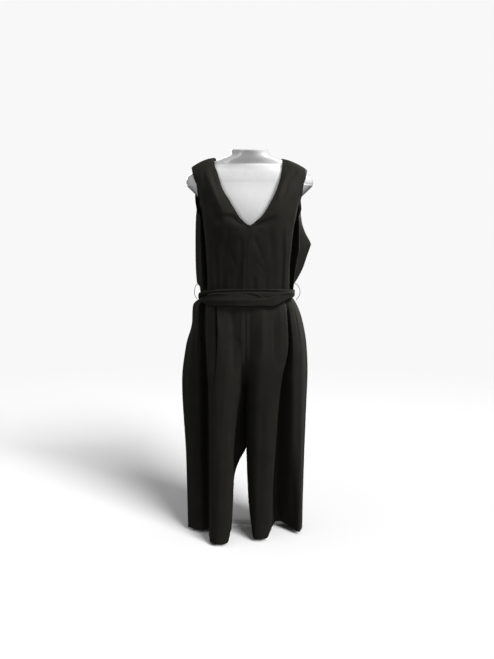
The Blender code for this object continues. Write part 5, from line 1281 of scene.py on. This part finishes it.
studio = {
    "cameraPlace": (0.0, -2.7, .8815), "cameraPitch": 4.16, "lens": 45.0,
    "radius": 7.0, "sides": 96, "backdropHeight": 9.0, "backdropGap": .01, "backdropTone": .939,
    "floorTone": .97, "floorRoughness": .7, "floorSpecular": .1,
    "floorFade": (2.0, 4.8),         # where the floor turns into the backdrop's tone
    "skyFrom": (.15, -.80, .58),     # the brightest side of the sky, and how its light runs off
    "skySpan": (-.7, .9), "skyLight": (0.0, .215),
    "lights": {      # what it lights, place, what it is turned to, size, power
        "clothKey": ("cloth", (2.45, -1.15, 3.7), (0.0, 0.0, .85), 1.3, 108.0),
        "clothFront": ("cloth", (.9, -4.2, 1.7), (0.0, 0.0, .75), 2.2, 19.0),
        "back": ("cloth", (2.3, 2.7, 2.5), (0.0, 0.0, .75), 1.4, 78.0),
        "leftBack": ("cloth", (-3.5, 1.3, 2.3), (0.0, 0.0, .75), 1.8, 22.0),
        "formKey": ("form", (2.7, -.75, 3.9), (0.0, 0.0, .85), 1.3, 174.0),
        "formTop": ("form", (.6, -.5, 4.8), (0.0, 0.0, .85), 1.3, 21.0),
        "formLeft": ("form", (-2.6, -3.0, 2.0), (0.0, 0.0, 1.1), 1.6, 38.0),
        "formBack": ("form", (-1.2, 3.6, 2.6), (0.0, 0.0, .75), 1.8, 60.0),
    },
    "suns": {        # on the floor only: where from, angle, power
        "floorSun": ((.437, -.775, .454), 27.0, 5.15),
        "floorFill": ((-.25, -.45, .86), 100.0, .72),
    },
}


def makeLight(name, kind, place, target, onlyOn, **settings):
    lamp = bpy.data.lights.new(name, kind)
    for setting, value in settings.items():
        setattr(lamp, setting, value)
    light = bpy.data.objects.new(name, lamp)
    light.location = place
    light.rotation_euler = (Vector(target) - light.location).to_track_quat("-Z", "Y").to_euler()
    bpy.context.scene.collection.objects.link(light)
    light.light_linking.receiver_collection = onlyOn


# A pale floor that fades into the backdrop's tone.
def makeFloor():
    bpy.ops.object.select_all(action="DESELECT")
    bpy.ops.mesh.primitive_circle_add(vertices=studio["sides"], radius=studio["radius"], fill_type="NGON")
    floor = bpy.context.object
    floor.name = "floor"
    pale, shader = startMaterial("paleFloor", (studio["floorTone"],) * 3, studio["floorRoughness"],
                                 Specular_IOR_Level=studio["floorSpecular"])
    place = addNode(pale, "ShaderNodeTexCoord").outputs["Object"]
    reach = addNode(pale, "ShaderNodeVectorMath", {"operation": "LENGTH"}, i0=place).outputs["Value"]
    far = addNode(pale, "ShaderNodeMapRange", {"interpolation_type": "SMOOTHSTEP"}, Value=reach,
                  i1=studio["floorFade"][0], i2=studio["floorFade"][1]).outputs["Result"]
    haze = addNode(pale, "ShaderNodeEmission", Strength=studio["backdropTone"]).outputs["Emission"]
    mixed = addNode(pale, "ShaderNodeMixShader", i0=far, i1=shader.outputs["BSDF"], i2=haze)
    output = pale.node_tree.nodes["Material Output"]
    pale.node_tree.links.new(mixed.outputs["Shader"], output.inputs["Surface"])
    floor.data.materials.append(pale)
    floor.visible_diffuse = floor.visible_glossy = False
    return floor


def makeBackdrop():
    bpy.ops.object.select_all(action="DESELECT")
    bpy.ops.mesh.primitive_cylinder_add(vertices=studio["sides"], depth=studio["backdropHeight"],
                                        radius=studio["radius"] - studio["backdropGap"],
                                        location=(0.0, 0.0, studio["backdropHeight"] / 2),
                                        end_fill_type="NOTHING")
    backdrop = bpy.context.object
    backdrop.name = "backdrop"
    glow = bpy.data.materials.new("paleBackdrop")
    glow.use_nodes = True
    glow.node_tree.nodes.clear()
    lit = addNode(glow, "ShaderNodeEmission", Strength=studio["backdropTone"])
    addNode(glow, "ShaderNodeOutputMaterial", Surface=lit.outputs["Emission"])
    backdrop.data.materials.append(glow)
    backdrop.visible_diffuse = backdrop.visible_glossy = backdrop.visible_shadow = False


# A sky that is brightest above the camera's side.
def makeSky():
    sky = bpy.data.worlds.new("softSky")
    sky.use_nodes = True
    direction = addNode(sky, "ShaderNodeTexCoord").outputs["Generated"]
    leaning = addNode(sky, "ShaderNodeVectorMath", {"operation": "DOT_PRODUCT"}, i0=direction,
                      i1=studio["skyFrom"]).outputs["Value"]
    background = sky.node_tree.nodes["Background"]
    background.inputs["Color"].default_value = (1.0, 1.0, 1.0, 1.0)
    sky.node_tree.links.new(spanOn(sky, leaning, *studio["skyLight"], *studio["skySpan"]),
                            background.inputs["Strength"])
    bpy.context.scene.world = sky


def placeCamera():
    lens = bpy.data.cameras.new("camera")
    lens.lens = studio["lens"]
    camera = bpy.data.objects.new("camera", lens)
    camera.location = studio["cameraPlace"]
    camera.rotation_euler = (math.radians(90.0 - studio["cameraPitch"]), 0.0, 0.0)
    bpy.context.scene.collection.objects.link(camera)
    bpy.context.scene.camera = camera
    bpy.context.scene.view_settings.view_transform = "Standard"


# The floor with the foot plate, the form and the cloth are lit apart.
def lightAll(floor, torso):
    groups = {name: bpy.data.collections.new(name + "Group") for name in ("floor", "form", "cloth")}
    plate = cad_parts["stand_foot"]
    groups["floor"].objects.link(floor)
    groups["floor"].objects.link(plate)
    groups["form"].objects.link(torso)
    for k, leftOut in enumerate((floor, torso, plate)):
        groups["cloth"].objects.link(leftOut)
        groups["cloth"].collection_objects[k].light_linking.link_state = "EXCLUDE"
    for name, (lit, place, target, size, power) in studio["lights"].items():
        makeLight(name, "AREA", place, target, groups[lit], energy=power, size=size)
    for name, (place, angle, power) in studio["suns"].items():
        makeLight(name, "SUN", place, (0, 0, 0), groups["floor"], energy=power, angle=math.radians(angle))


# everything, in order

placeCamera()
floor = makeFloor()
makeBackdrop()
makeSky()
print("stage done")
crepeCloth = makeCrepe("blackCrepe")
# the belt, its ends and its knot take the same crepe painted 1.1 times lighter, as painted light
beltCrepePaintedLight = makeCrepe("beltCrepePaintedLight", 1.1)
makeTrousers(crepeCloth)
makeBodice(crepeCloth)
makeBelt(beltCrepePaintedLight)
makeTails(beltCrepePaintedLight)
tie = makeKnot(beltCrepePaintedLight)
makeLoops(makeFinish("loopThread"))
print("cloth done")
torso = makeForm(makeFinish("formPlastic"))
finishStand(makeFinish("footPaint"), makeFinish("brushedSteel"))
print("form and stand done")
lightAll(floor, torso)
print("lights done")
